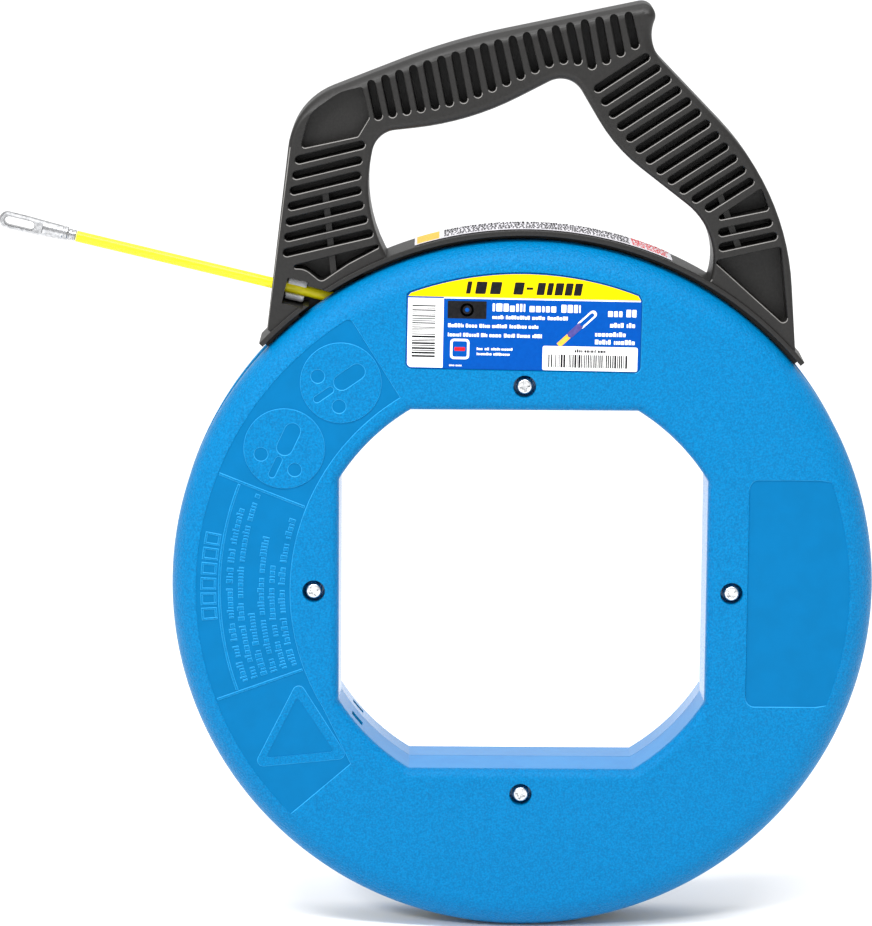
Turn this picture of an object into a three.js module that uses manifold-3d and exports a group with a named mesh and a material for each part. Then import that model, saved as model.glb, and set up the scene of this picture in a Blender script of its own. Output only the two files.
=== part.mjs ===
// Fish tape reel, 305 mm case: a two-part drum that turns inside a fixed carrying handle.
// Millimetres, +Z up, the drum's axis along Y, the labelled face towards -Y.
// Everything is laid out from the drum's centre, then moved so that the origin is the point
// under the grip where a hand or a hook carries the reel.

import * as THREE from 'three';
import { mergeVertices } from 'three/addons/utils/BufferGeometryUtils.js';
import Module from 'manifold-3d';

const wasm = await Module();
wasm.setup();

// ---- driving dimensions -------------------------------------------------------------------

// drum
const CASE_RADIUS = 152.5;
const CASE_HALF_DEPTH = 22.6;
const RIM_ROUNDING = 13.5;
const RIM_SLOT_HALF = 5.2;      // half the gap between the two rims, where the handle's web runs
const LIP_THICKNESS = 3.3;
const WALL = 2.8;
const INNER_ROUNDING = 10.7;
const HUB_RADIUS = 96.6;        // inner wall of the tape chamber
const HUB_WALL = 3.2;
const PARTING_GAP = 0.15;       // each half stops this far from the middle plane
const ROUND_STEPS = 80;

// centre opening, a square with its corners cut by a circle
const OPENING_HALF = 79.65;
const OPENING_CORNER_RADIUS = 93.5;
const OPENING_DRAFT = 0.8;
const OPENING_EDGE = 4.5;
const OPENING_CORNER_STEPS = 6;

// case screws
const SCREW_CIRCLE = 90.5;
const SCREW_COUNT = 4;
const SCREW_HEAD_RADIUS = 3.35;
const SCREW_HEAD_HEIGHT = 2.3;
const SCREW_SHANK_RADIUS = 1.9;
const SCREW_LENGTH = 33;
const COUNTERBORE_RADIUS = 4.85;
const COUNTERBORE_DEPTH = 3.2;
const SCREW_CLEARANCE = 0.4;
const BOSS_HALF_WIDTH = 8;

// shallow recesses in the front face
const LABEL_RECESS_DEPTH = 0.8;
const PANEL_DEPTH = 0.5;
const LABEL_TOP_RADIUS = 140;
const PANEL_OUTER_RADIUS = 141.6;
const LEFT_PANEL_INNER_RADIUS = 100.8;
const LABEL_CENTRE = [-0.7, 115];
const LABEL_TURN = -0.8;        // degrees, the label and its recess sit slightly clockwise
const STICKER_THICKNESS = 0.3;
const STICKER_GAP = 0.1;

// tape and its winding
const TAPE_DIAMETER = 4.76;
const COIL_INNER_RADIUS = 97;
const COIL_VALLEY_RADIUS = 100.4;
const COIL_OUTER_RADIUS = 130.6;
const COIL_HALF_WIDTH = 19.2;
const COIL_VALLEY_HALF = 3.4;

// handle
const GRIP_HALF_DEPTH = 13;
const SADDLE_HALF_WIDTH = 14.5;
const SADDLE_INNER_RADIUS = 154.6;
const SADDLE_OUTER_RADIUS = 156.8;
const SADDLE_FROM = -46.8;      // degrees from the top, clockwise seen from the front
const SADDLE_TO = 50.2;
const WEB_HALF = 4.7;
const WEB_WALL = 1.4;           // what is left of the web behind the tape
const WEB_LAP = 0.6;            // how far the web runs into the saddle and the rail
const TAPE_GAP_FROM = -39.5;    // where the web and the rail make room for the tape
const TAPE_GAP_TO = -27;
const RAIL_INNER_RADIUS = 144;
const RAIL_OUTER_RADIUS = 148.2;
const RAIL_HALF_WIDTH = 11.5;
const MIDDLE_WEB_HALF = 1.5;    // what the blind slots leave in the middle of the grip
const SLOT_WIDTH = 3.5;
const SHOULDER_POCKET_DEPTH = 7;
const RIB_WIDTH = 2.6;
const RIB_RECESS = 2.5;

// tape guide and the stretch of tape outside the case
const GUIDE_X = -98.8;
const GUIDE_Z = 129.1;
const TAPE_SLOPE = 13.24;       // degrees, rising to the left
const GUIDE_RADIUS = 5.3;
const GUIDE_BORE_RADIUS = 2.8;
const GUIDE_LENGTH = 8.4;
const GUIDE_MOUTH_HALF = 2.1;
const GUIDE_CLEARANCE = 0.4;
const WINDOW_BACK = 5.8;
const MOUTH_RADIUS = 2.9;       // hole in the leg's outer wall
const MOUTH_REACH = 16;
const PASSAGE_HALF = 4.2;
const PASSAGE_BACK = 3.1;       // it stops short of the wall behind the tape
const PASSAGE_LENGTH = 30;
const LEAD_TAIL = 30;           // how far the stretch reaches inwards from the guide's middle
const LEAD_END = 97.3;          // how far it reaches outwards, to the ferrule
const FERRULE_LENGTH = 3.2;
const FERRULE_RADIUS = 2.55;
const EYELET_LENGTH = 30.3;
const EYELET_TAIL_RADIUS = 3.05;
const EYELET_HEAD_RADIUS = 3.65;
const EYELET_HALF_THICKNESS = 2.5;
const EYE_LENGTH = 13;
const EYE_WIDTH = 3.7;
const EYE_WALL = 2.6;
const TOUCH_GAP = 0.3;

// where the reel hangs from
const HANG_X = 15.4;
const HANG_Z = 222.6;

// ---- small geometry helpers ---------------------------------------------------------------

const radians = (degrees) => degrees * Math.PI / 180;

// A place on the face, given by its distance from the drum's centre and its angle clockwise
// from the top.
function polar(radius, degrees) {
  return [radius * Math.sin(radians(degrees)), radius * Math.cos(radians(degrees))];
}

function toManifold(geometry) {
  const bare = geometry.clone();
  bare.deleteAttribute('normal');
  bare.deleteAttribute('uv');
  const merged = mergeVertices(bare, 1e-4);
  return new wasm.Manifold(new wasm.Mesh({
    numProp: 3,
    vertProperties: new Float32Array(merged.attributes.position.array),
    triVerts: new Uint32Array(merged.index.array),
  }));
}

function toGeometry(manifold) {
  const mesh = manifold.getMesh();
  const geometry = new THREE.BufferGeometry();
  geometry.setAttribute('position', new THREE.BufferAttribute(mesh.vertProperties, 3));
  geometry.setIndex(new THREE.BufferAttribute(mesh.triVerts, 1));
  geometry.computeVertexNormals();
  return geometry;
}

function cut(body, ...tools) {
  return tools.reduce((rest, tool) => rest.subtract(toManifold(tool)), body);
}

function join(body, ...extras) {
  return extras.reduce((sum, extra) => sum.add(toManifold(extra)), body);
}

// Corner points [x, z, radius] become an outline whose corners are arcs of that radius.
function rounded(corners, closed = true, stepDegrees = 18) {
  const outline = [];
  const last = corners.length - 1;
  corners.forEach(([x, z, radius = 0], i) => {
    const here = new THREE.Vector2(x, z);
    const isEnd = !closed && (i === 0 || i === last);
    if (radius === 0 || isEnd) {
      outline.push(here);
      return;
    }
    const before = corners[(i + last) % corners.length];
    const after = corners[(i + 1) % corners.length];
    const arriving = here.clone().sub(new THREE.Vector2(before[0], before[1])).normalize();
    const leaving = new THREE.Vector2(after[0], after[1]).sub(here).normalize();
    const turn = Math.atan2(arriving.cross(leaving), arriving.dot(leaving));
    const reach = radius * Math.tan(Math.abs(turn) / 2);
    const start = here.clone().addScaledVector(arriving, -reach);
    const side = Math.sign(turn);
    const inwards = new THREE.Vector2(-arriving.y, arriving.x).multiplyScalar(side * radius);
    const centre = start.clone().add(inwards);
    const steps = Math.max(2, Math.round(Math.abs(turn) / radians(stepDegrees)));
    for (let k = 0; k <= steps; k += 1) {
      outline.push(start.clone().rotateAround(centre, turn * k / steps));
    }
  });
  return outline;
}

// A flat outline in X and Z, extruded from yFront back to yBack.
function plate(outlines, yFront, yBack) {
  const list = Array.isArray(outlines[0]) ? outlines : [outlines];
  const shapes = list.map((points) => new THREE.Shape(points));
  const geometry = new THREE.ExtrudeGeometry(shapes, { depth: yBack - yFront, bevelEnabled: false });
  geometry.rotateX(Math.PI / 2);
  geometry.translate(0, yBack, 0);
  return geometry;
}

function arcPoints(radius, fromDegrees, toDegrees, stepDegrees = 3) {
  const steps = Math.max(1, Math.round(Math.abs(toDegrees - fromDegrees) / stepDegrees));
  return Array.from({ length: steps + 1 }, (_, k) => {
    const [x, z] = polar(radius, fromDegrees + (toDegrees - fromDegrees) * k / steps);
    return new THREE.Vector2(x, z);
  });
}

function ringSector(inner, outer, fromDegrees, toDegrees) {
  return [...arcPoints(outer, fromDegrees, toDegrees), ...arcPoints(inner, toDegrees, fromDegrees)];
}

// A long hole with round ends.
function longHole([x1, z1], [x2, z2], width) {
  const along = Math.atan2(z2 - z1, x2 - x1);
  const outline = [];
  [[x2, z2, along - Math.PI / 2], [x1, z1, along + Math.PI / 2]].forEach(([x, z, start]) => {
    for (let k = 0; k <= 3; k += 1) {
      const angle = start + Math.PI * k / 3;
      outline.push(new THREE.Vector2(x + Math.cos(angle) * width / 2, z + Math.sin(angle) * width / 2));
    }
  });
  return outline;
}

// A revolved body about the drum's axis. The profile's points are [radius, y], closed.
function turned(profile, steps = ROUND_STEPS) {
  const points = profile.map(([radius, y]) => new THREE.Vector2(radius, y));
  points.push(points[0].clone());
  if (THREE.ShapeUtils.area(points) < 0) points.reverse();
  return new THREE.LatheGeometry(points, steps);
}

// A closed body through outlines of equal point count at rising y.
function loft(levels) {
  const count = levels[0].outline.length;
  const positions = levels.flatMap(({ y, outline }) => outline.flatMap((p) => [p.x, y, p.y]));
  const faces = [];
  for (let level = 0; level < levels.length - 1; level += 1) {
    for (let i = 0; i < count; i += 1) {
      const j = (i + 1) % count;
      const a = level * count;
      const b = a + count;
      faces.push(a + i, b + i, b + j, a + i, b + j, a + j);
    }
  }
  const top = (levels.length - 1) * count;
  THREE.ShapeUtils.triangulateShape(levels[0].outline, []).forEach(([i, j, k]) => {
    faces.push(i, j, k);
  });
  THREE.ShapeUtils.triangulateShape(levels.at(-1).outline, []).forEach(([i, j, k]) => {
    faces.push(top + i, top + k, top + j);
  });
  const geometry = new THREE.BufferGeometry();
  geometry.setAttribute('position', new THREE.Float32BufferAttribute(positions, 3));
  geometry.setIndex(faces);
  return geometry;
}

// A quarter arc in [radius, y] terms, from one angle to another about a centre.
function quarter([centreRadius, centreY], radius, fromDegrees, toDegrees, steps) {
  return Array.from({ length: steps + 1 }, (_, k) => {
    const angle = radians(fromDegrees + (toDegrees - fromDegrees) * k / steps);
    return [centreRadius + radius * Math.cos(angle), centreY + radius * Math.sin(angle)];
  });
}

function piece(name, geometry, color, roughness, metalness = 0) {
  const material = new THREE.MeshStandardMaterial({ color, roughness, metalness });
  const mesh = new THREE.Mesh(geometry, material);
  mesh.name = name;
  return mesh;
}

// ---- drum ---------------------------------------------------------------------------------

function openingOutline(grow) {
  const half = OPENING_HALF + grow;
  const corner = OPENING_CORNER_RADIUS + grow;
  const edge = THREE.MathUtils.radToDeg(Math.acos(half / corner));
  const step = (90 - 2 * edge) / OPENING_CORNER_STEPS;
  return [0, 90, 180, 270].flatMap((quadrant) => (
    arcPoints(corner, -quadrant - edge, -quadrant - 90 + edge, step)
  ));
}

// The centre opening narrows a little towards the parting plane and is rounded at both faces.
function openingCutter() {
  const growth = [
    [CASE_HALF_DEPTH + 0.9, OPENING_EDGE + 0.6],
    [CASE_HALF_DEPTH, OPENING_EDGE],
    [CASE_HALF_DEPTH - 1.6, OPENING_EDGE * 0.24],
    [CASE_HALF_DEPTH - OPENING_EDGE, 0],
  ];
  const front = growth.map(([y, grow]) => ({ y: -y, outline: openingOutline(grow) }));
  const back = growth.map(([y, grow]) => ({ y, outline: openingOutline(grow) })).reverse();
  return loft([...front, { y: 0, outline: openingOutline(-OPENING_DRAFT) }, ...back]);
}

// One case half as a revolved shell: face, rounded rim, lip, chamber and hub.
function caseShell(side) {
  const face = CASE_HALF_DEPTH;
  const rimCentre = [CASE_RADIUS - RIM_ROUNDING, face - RIM_ROUNDING];
  const lipRadius = CASE_RADIUS - LIP_THICKNESS;
  const innerCentre = [lipRadius - INNER_ROUNDING, face - WALL - INNER_ROUNDING];
  const profile = [
    [70, face],
    ...quarter(rimCentre, RIM_ROUNDING, 90, 0, 4),
    [CASE_RADIUS, RIM_SLOT_HALF],
    [lipRadius, RIM_SLOT_HALF],
    ...quarter(innerCentre, INNER_ROUNDING, 0, 90, 3),
    [HUB_RADIUS, face - WALL],
    [HUB_RADIUS, PARTING_GAP],
    [70, PARTING_GAP],
  ];
  return turned(profile.map(([radius, y]) => [radius, side * y]));
}

// Hollows between the opening's wall and the hub's wall, open at the parting plane.
function hubPockets(side) {
  const wallRadius = HUB_RADIUS - HUB_WALL;
  const floor = OPENING_HALF + HUB_WALL;
  const widest = THREE.MathUtils.radToDeg(Math.acos((floor + 2) / wallRadius));
  const nearBoss = THREE.MathUtils.radToDeg(Math.asin(BOSS_HALF_WIDTH / wallRadius));
  const pocket = [
    ...arcPoints(wallRadius, nearBoss, widest, 5),
    new THREE.Vector2(polar(wallRadius, widest)[0], floor),
    new THREE.Vector2(BOSS_HALF_WIDTH, floor),
  ];
  const mirrored = pocket.map((p) => new THREE.Vector2(-p.x, p.y)).reverse();
  const outlines = [0, 90, 180, 270].flatMap((turn) => (
    [pocket, mirrored].map((outline) => (
      outline.map((p) => p.clone().rotateAround(new THREE.Vector2(), radians(turn)))
    ))
  ));
  const depths = [0, side * (CASE_HALF_DEPTH - WALL)].sort((a, b) => a - b);
  return plate(outlines, depths[0], depths[1]);
}

function screwPlaces() {
  return Array.from({ length: SCREW_COUNT }, (_, i) => polar(SCREW_CIRCLE, 360 * i / SCREW_COUNT));
}

// A plain round rod along Y.
function rod([x, z], radius, yFront, yBack, sides = 16) {
  const geometry = new THREE.CylinderGeometry(radius, radius, yBack - yFront, sides);
  geometry.translate(x, (yFront + yBack) / 2, z);
  return geometry;
}

// The pair of small slots through the hub's wall where the tape's inner end is made fast.
function hubSlot(side) {
  const geometry = new THREE.BoxGeometry(7, 5, 14);
  geometry.translate(0, side * 10.5, HUB_RADIUS);
  geometry.rotateY(radians(-129.7));
  return geometry;
}

// Turns an outline with the label.
function onLabel(outline) {
  const centre = new THREE.Vector2(...LABEL_CENTRE);
  return outline.map((p) => p.clone().rotateAround(centre, radians(LABEL_TURN)));
}

function labelOutline(inset) {
  const radius = LABEL_TOP_RADIUS - inset;
  const left = -51.1 + inset;
  const right = 49.8 - inset;
  const bottom = 97.4 + inset;
  const leftAngle = THREE.MathUtils.radToDeg(Math.asin(left / radius));
  const rightAngle = THREE.MathUtils.radToDeg(Math.asin(right / radius));
  const foot = rounded([[right, 120, 0], [right, bottom, 2.5], [left, bottom, 2.5], [left, 120, 0]], false);
  return onLabel([...arcPoints(radius, leftAngle, rightAngle, 4), ...foot]);
}

function rightPanelOutline() {
  return [
    ...arcPoints(PANEL_OUTER_RADIUS, 69.5, 110.5, 4),
    ...rounded([[128, -50.3, 0], [97.4, -50.3, 4], [97.4, 50.3, 4], [128, 50.3, 0]], false),
  ];
}

function leftPanelOutline() {
  const [footX, footZ] = polar(107, -136);
  return [
    ...arcPoints(PANEL_OUTER_RADIUS, -134.8, -32, 4),
    ...arcPoints(LEFT_PANEL_INNER_RADIUS, -32, -121, 4),
    new THREE.Vector2(footX, footZ),
  ];
}

function caseFront() {
  const face = -CASE_HALF_DEPTH;
  let body = cut(toManifold(caseShell(-1)), openingCutter(), hubPockets(-1), hubSlot(-1));
  screwPlaces().forEach((place) => {
    const floor = face + COUNTERBORE_DEPTH;
    const hole = rod(place, SCREW_SHANK_RADIUS + SCREW_CLEARANCE, floor - 0.5, 1, 12);
    body = cut(body, rod(place, COUNTERBORE_RADIUS, face - 1, floor, 20), hole);
  });
  const label = plate(labelOutline(0), face - 1, face + LABEL_RECESS_DEPTH);
  const panels = plate([rightPanelOutline(), leftPanelOutline()], face - 1, face + PANEL_DEPTH);
  return toGeometry(cut(body, label, panels));
}

function caseBack() {
  let body = cut(toManifold(caseShell(1)), openingCutter(), hubPockets(1), hubSlot(1));
  const holeEnd = screwTip() + 1;
  screwPlaces().forEach((place) => {
    body = cut(body, rod(place, SCREW_SHANK_RADIUS + SCREW_CLEARANCE, -1, holeEnd, 12));
  });
  return toGeometry(body);
}

function screwSeat() {
  return -CASE_HALF_DEPTH + COUNTERBORE_DEPTH - STICKER_GAP;
}

function screwTip() {
  return screwSeat() + SCREW_LENGTH;
}

// A pan-head screw with a square recess in its head, along Y.
function screwGeometry() {
  const top = screwSeat() - SCREW_HEAD_HEIGHT;
  const profile = [
    [0, top],
    [SCREW_HEAD_RADIUS * 0.62, top],
    [SCREW_HEAD_RADIUS * 0.93, top + SCREW_HEAD_HEIGHT * 0.35],
    [SCREW_HEAD_RADIUS, screwSeat()],
    [SCREW_SHANK_RADIUS, screwSeat()],
    [SCREW_SHANK_RADIUS, screwTip() - 1.2],
    [0, screwTip()],
  ];
  const recess = new THREE.BoxGeometry(2.3, 3, 2.3);
  recess.translate(0, top, 0);
  const points = profile.map(([radius, y]) => new THREE.Vector2(radius, y));
  return toGeometry(cut(toManifold(new THREE.LatheGeometry(points, 16)), recess));
}

function frontLabel() {
  const back = -CASE_HALF_DEPTH + LABEL_RECESS_DEPTH - STICKER_GAP;
  return plate(labelOutline(TOUCH_GAP), back - STICKER_THICKNESS, back);
}

function stockSticker() {
  const back = -CASE_HALF_DEPTH + LABEL_RECESS_DEPTH - STICKER_THICKNESS - 2 * STICKER_GAP;
  const outline = rounded([[7.6, 98, 1], [48.3, 98, 1], [48.3, 108.5, 1], [7.6, 108.5, 1]]);
  return plate(onLabel(outline), back - 0.2, back);
}

// The wound tape as one solid. The turns lie in two stacks with a feed channel between them.
function tapeCoil() {
  return turned([
    [COIL_INNER_RADIUS, -COIL_HALF_WIDTH],
    [COIL_OUTER_RADIUS - 3, -COIL_HALF_WIDTH],
    [COIL_OUTER_RADIUS, -COIL_HALF_WIDTH + 3],
    [COIL_OUTER_RADIUS, -COIL_VALLEY_HALF - 2.5],
    [COIL_OUTER_RADIUS - 3, -COIL_VALLEY_HALF],
    [COIL_VALLEY_RADIUS, -COIL_VALLEY_HALF],
    [COIL_VALLEY_RADIUS, COIL_VALLEY_HALF],
    [COIL_OUTER_RADIUS - 3, COIL_VALLEY_HALF],
    [COIL_OUTER_RADIUS, COIL_VALLEY_HALF + 2.5],
    [COIL_OUTER_RADIUS, COIL_HALF_WIDTH - 3],
    [COIL_OUTER_RADIUS - 3, COIL_HALF_WIDTH],
    [COIL_INNER_RADIUS, COIL_HALF_WIDTH],
  ], 56);
}

// ---- handle -------------------------------------------------------------------------------

// The bow's outside, from the left foot over the grip to the right foot, closed under the saddle.
function bowOutline() {
  const outside = rounded([
    [-110.9, 113.1, 0],
    [-99.7, 210.1, 30.4],
    [-32.4, 236.7, 276],
    [57.1, 255.6, 5.3],
    [50.2, 236.6, 16.5],
    [111.8, 173.4, 111],
    [116.5, 104.2, 0],
  ], false, 11);
  return [...outside, ...arcPoints(SADDLE_INNER_RADIUS + 0.6, 48.2, -44.2)];
}

// The hand opening, closed below by the saddle.
function handOpeningOutline() {
  const edge = rounded([
    [-58, 142, 0],
    [-70.5, 166.4, 63.8],
    [-64.3, 198.3, 10.9],
    [-24.4, 202.8, 126],
    [18.2, 224.9, 10.5],
    [37.7, 192.3, 73],
    [86.4, 154.7, 30.2],
    [78, 132.2, 0],
  ], false, 11);
  return [...edge, ...arcPoints(SADDLE_OUTER_RADIUS - 1.3, 29.4, -20.8)];
}

// A row of long slots whose ends run along two curves, each given by its start, bend and end.
function slotRow(count, starts, ends) {
  const [from, to] = [starts, ends].map((points) => (
    new THREE.QuadraticBezierCurve(...points.map(([x, z]) => new THREE.Vector2(x, z)))
  ));
  return Array.from({ length: count }, (_, i) => {
    const a = from.getPoint(i / (count - 1));
    const b = to.getPoint(i / (count - 1));
    return longHole([a.x, a.y], [b.x, b.y], SLOT_WIDTH);
  });
}

// Height of the lower end of a grip slot at x: it follows the hand opening's upper edge.
function gripSlotFoot(x) {
  const knees = [
    [-63.4, 205.5], [-38.8, 210.1], [-26.4, 213.1], [-8.9, 220.4], [8.7, 228.3],
    [15, 229.9], [21.6, 229.5], [28.5, 227.3], [45.5, 236.4],
  ];
  const i = Math.min(knees.findLastIndex(([kneeX]) => x >= kneeX), knees.length - 2);
  const [[x1, z1], [x2, z2]] = [knees[i], knees[i + 1]];
  return z1 + (z2 - z1) * (x - x1) / (x2 - x1);
}

function gripSlots() {
  const count = 19;
  const crown = new THREE.QuadraticBezierCurve(
    new THREE.Vector2(-66.4, 219.1),
    new THREE.Vector2(-13.3, 239.5),
    new THREE.Vector2(42.6, 248.7),
  );
  return Array.from({ length: count }, (_, i) => {
    const top = crown.getPoint(i / (count - 1));
    const footX = THREE.MathUtils.lerp(-63.4, 45.5, i / (count - 1));
    return longHole([top.x, top.y], [footX, gripSlotFoot(footX)], SLOT_WIDTH);
  });
}

function legSlots() {
  const left = slotRow(
    7,
    [[-97.1, 186.6], [-100.7, 166.6], [-102.3, 146.6]],
    [[-70.7, 193.1], [-75.5, 173], [-67.1, 155]],
  );
  const right = slotRow(
    12,
    [[30.1, 217.9], [46.6, 187], [78.2, 167.2]],
    [[50.1, 231.1], [75.6, 206], [95.4, 178.3]],
  );
  const lowerRight = [
    longHole([84.1, 156.5], [103.6, 160.8], SLOT_WIDTH),
    longHole([84.4, 150.1], [105.9, 154.9], SLOT_WIDTH),
  ];
  return [...left, ...right, ...lowerRight];
}

function shoulderPocket() {
  return rounded([
    [-96.6, 191.2, 1.5], [-92.6, 206.6, 16], [-80, 215.6, 20],
    [-70.2, 218, 1.2], [-67.2, 204.6, 1.5], [-72, 196.6, 1.5],
  ]);
}

function cornerPockets() {
  const lowerLeft = rounded([
    [-104.2, 139.8, 0.8], [-57.6, 151.8, 0.8], [-76, 141.9, 0], [-87.6, 134, 2.5], [-94.6, 139.6, 8],
  ]);
  const wedge = rounded([[78.8, 160.9, 1], [100.5, 175.6, 1], [104.2, 166.2, 1.5]]);
  const triangle = rounded([[80.6, 144, 1], [109.4, 150.5, 1.2], [113.2, 115, 1.8]]);
  return [lowerLeft, wedge, triangle];
}

// A straight bar between two points in the face plane.
function bar([x1, z1], [x2, z2], width, yFront, yBack) {
  const across = new THREE.Vector2(z1 - z2, x2 - x1).setLength(width / 2);
  const outline = [
    new THREE.Vector2(x1, z1).sub(across),
    new THREE.Vector2(x2, z2).sub(across),
    new THREE.Vector2(x2, z2).add(across),
    new THREE.Vector2(x1, z1).add(across),
  ];
  return plate(outline, yFront, yBack);
}

// Stands a shape whose own +Y is its length on the tape's line, +Y pointing out of the reel.
function ontoTapeLine(geometry) {
  geometry.rotateX(Math.PI / 2);
  geometry.rotateY(-radians(90 - TAPE_SLOPE));
  geometry.translate(GUIDE_X, 0, GUIDE_Z);
  return geometry;
}

// Box along the tape's line: length along it, height across it in the face plane, yFront to yBack.
function tapeLineBox(from, to, halfHeight, yFront, yBack) {
  const slope = new THREE.Vector2(-Math.cos(radians(TAPE_SLOPE)), Math.sin(radians(TAPE_SLOPE)));
  const ends = [from, to].map((s) => [GUIDE_X + slope.x * s, GUIDE_Z + slope.y * s]);
  return bar(ends[0], ends[1], 2 * halfHeight, yFront, yBack);
}

// A solid of revolution about the tape's line. Points are [radius, distance from the guide].
function turnedOnTape(profile, sides) {
  const points = profile.map(([radius, s]) => new THREE.Vector2(radius, s));
  return ontoTapeLine(new THREE.LatheGeometry(points, sides));
}

function handle() {
  let body = toManifold(plate(bowOutline(), -GRIP_HALF_DEPTH, GRIP_HALF_DEPTH));
  body = cut(body, plate(handOpeningOutline(), -GRIP_HALF_DEPTH - 1, GRIP_HALF_DEPTH + 1));
  const slots = [...gripSlots(), ...legSlots(), ...cornerPockets()];
  body = cut(body, plate(slots, -GRIP_HALF_DEPTH - 1, -MIDDLE_WEB_HALF));
  body = cut(body, plate(slots, MIDDLE_WEB_HALF, GRIP_HALF_DEPTH + 1));
  const shoulderFloor = GRIP_HALF_DEPTH - SHOULDER_POCKET_DEPTH;
  body = cut(body, plate(shoulderPocket(), -GRIP_HALF_DEPTH - 1, -shoulderFloor));
  body = cut(body, plate(shoulderPocket(), shoulderFloor, GRIP_HALF_DEPTH + 1));
  const ribFace = GRIP_HALF_DEPTH - RIB_RECESS;
  body = join(body, bar([-85.9, 172], [-82.2, 136.5], RIB_WIDTH, -ribFace, ribFace));
  body = join(body, bar([82.4, 173.6], [91.6, 149], RIB_WIDTH, -ribFace, ribFace));
  const saddle = ringSector(SADDLE_INNER_RADIUS, SADDLE_OUTER_RADIUS, SADDLE_FROM, SADDLE_TO);
  body = join(body, plate(saddle, -SADDLE_HALF_WIDTH, SADDLE_HALF_WIDTH));
  // the web and the rail inside the case leave room for the tape, and only a thin wall runs behind it
  const webSector = (from, to) => (
    ringSector(RAIL_OUTER_RADIUS - WEB_LAP, SADDLE_INNER_RADIUS + WEB_LAP, from, to)
  );
  const wall = webSector(TAPE_GAP_FROM - 0.5, TAPE_GAP_TO + 0.5);
  body = join(body, plate(wall, WEB_HALF - WEB_WALL, WEB_HALF));
  [[SADDLE_FROM + 0.1, TAPE_GAP_FROM], [TAPE_GAP_TO, SADDLE_TO - 0.2]].forEach(([from, to]) => {
    const web = webSector(from, to);
    const rail = ringSector(RAIL_INNER_RADIUS, RAIL_OUTER_RADIUS, from, to);
    body = join(body, plate(web, -WEB_HALF, WEB_HALF), plate(rail, -RAIL_HALF_WIDTH, RAIL_HALF_WIDTH));
  });
  // window for the guide, the passage behind it and the hole in the leg's outer wall
  const seat = GUIDE_LENGTH / 2 + GUIDE_CLEARANCE;
  const front = -SADDLE_HALF_WIDTH - 1;
  body = cut(body, tapeLineBox(-seat, seat, GUIDE_RADIUS + GUIDE_CLEARANCE, front, WINDOW_BACK));
  body = cut(body, tapeLineBox(-PASSAGE_LENGTH, -seat + 0.5, PASSAGE_HALF, front, PASSAGE_BACK));
  const mouth = new THREE.CylinderGeometry(MOUTH_RADIUS, MOUTH_RADIUS, 2 * MOUTH_REACH, 12);
  mouth.translate(0, MOUTH_REACH, 0);
  return toGeometry(cut(body, ontoTapeLine(mouth)));
}

// A thick bush split along its front, so that the tape shows through it.
function tapeGuide() {
  const half = GUIDE_LENGTH / 2;
  const ring = turnedOnTape([
    [GUIDE_BORE_RADIUS, -half],
    [GUIDE_RADIUS, -half],
    [GUIDE_RADIUS, half],
    [GUIDE_BORE_RADIUS, half],
    [GUIDE_BORE_RADIUS, -half],
  ], 24);
  const mouth = tapeLineBox(-half - 1, half + 1, GUIDE_MOUTH_HALF, -GUIDE_RADIUS - 1, 0);
  return toGeometry(cut(toManifold(ring), mouth));
}

function saddleSticker() {
  const inner = SADDLE_OUTER_RADIUS + TOUCH_GAP;
  return plate(ringSector(inner, inner + STICKER_THICKNESS, -17.6, 23.6), -11, 11);
}

// ---- the tape's free stretch --------------------------------------------------------------

function tapeLead() {
  const circle = new THREE.Shape();
  circle.absarc(0, 0, TAPE_DIAMETER / 2, 0, 2 * Math.PI);
  const out = new THREE.Vector3(-Math.cos(radians(TAPE_SLOPE)), 0, Math.sin(radians(TAPE_SLOPE)));
  const guide = new THREE.Vector3(GUIDE_X, 0, GUIDE_Z);
  const path = new THREE.LineCurve3(
    guide.clone().addScaledVector(out, -LEAD_TAIL),
    guide.clone().addScaledVector(out, LEAD_END),
  );
  const steps = Math.round((LEAD_TAIL + LEAD_END) / (2.5 * TAPE_DIAMETER));
  return new THREE.ExtrudeGeometry(circle, { extrudePath: path, steps, curveSegments: 10 });
}

function tapeFerrule() {
  const start = LEAD_END + TOUCH_GAP;
  return turnedOnTape([
    [0, start],
    [FERRULE_RADIUS, start],
    [FERRULE_RADIUS, start + FERRULE_LENGTH],
    [0, start + FERRULE_LENGTH],
  ], 16);
}

// A round-nosed metal bar, flattened towards its nose and pierced by a long eye.
function eyelet() {
  const start = LEAD_END + FERRULE_LENGTH + 2 * TOUCH_GAP;
  const end = start + EYELET_LENGTH;
  const noseStart = end - EYELET_HEAD_RADIUS;
  const nose = quarter([0, noseStart], EYELET_HEAD_RADIUS, 0, 90, 4);
  const bodyOfRevolution = toManifold(turnedOnTape([
    [0, start],
    [EYELET_TAIL_RADIUS, start],
    [EYELET_TAIL_RADIUS + 0.2, start + 8],
    ...nose.slice(0, -1),
    [0, end],
  ], 20));
  const eyeEnd = end - EYE_WALL - EYE_WIDTH / 2;
  const [outer, inner] = [eyeEnd, eyeEnd - EYE_LENGTH + EYE_WIDTH].map((s) => [
    GUIDE_X - s * Math.cos(radians(TAPE_SLOPE)),
    GUIDE_Z + s * Math.sin(radians(TAPE_SLOPE)),
  ]);
  const eye = plate(longHole(inner, outer, EYE_WIDTH), -6, 6);
  const flatFrom = eyeEnd - EYE_LENGTH - 1;
  const flats = [[-8, -EYELET_HALF_THICKNESS], [EYELET_HALF_THICKNESS, 8]].map(([front, back]) => (
    tapeLineBox(flatFrom, end + 2, 6, front, back)
  ));
  return toGeometry(cut(bodyOfRevolution, eye, ...flats));
}

// ---- assembly -----------------------------------------------------------------------------

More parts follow.
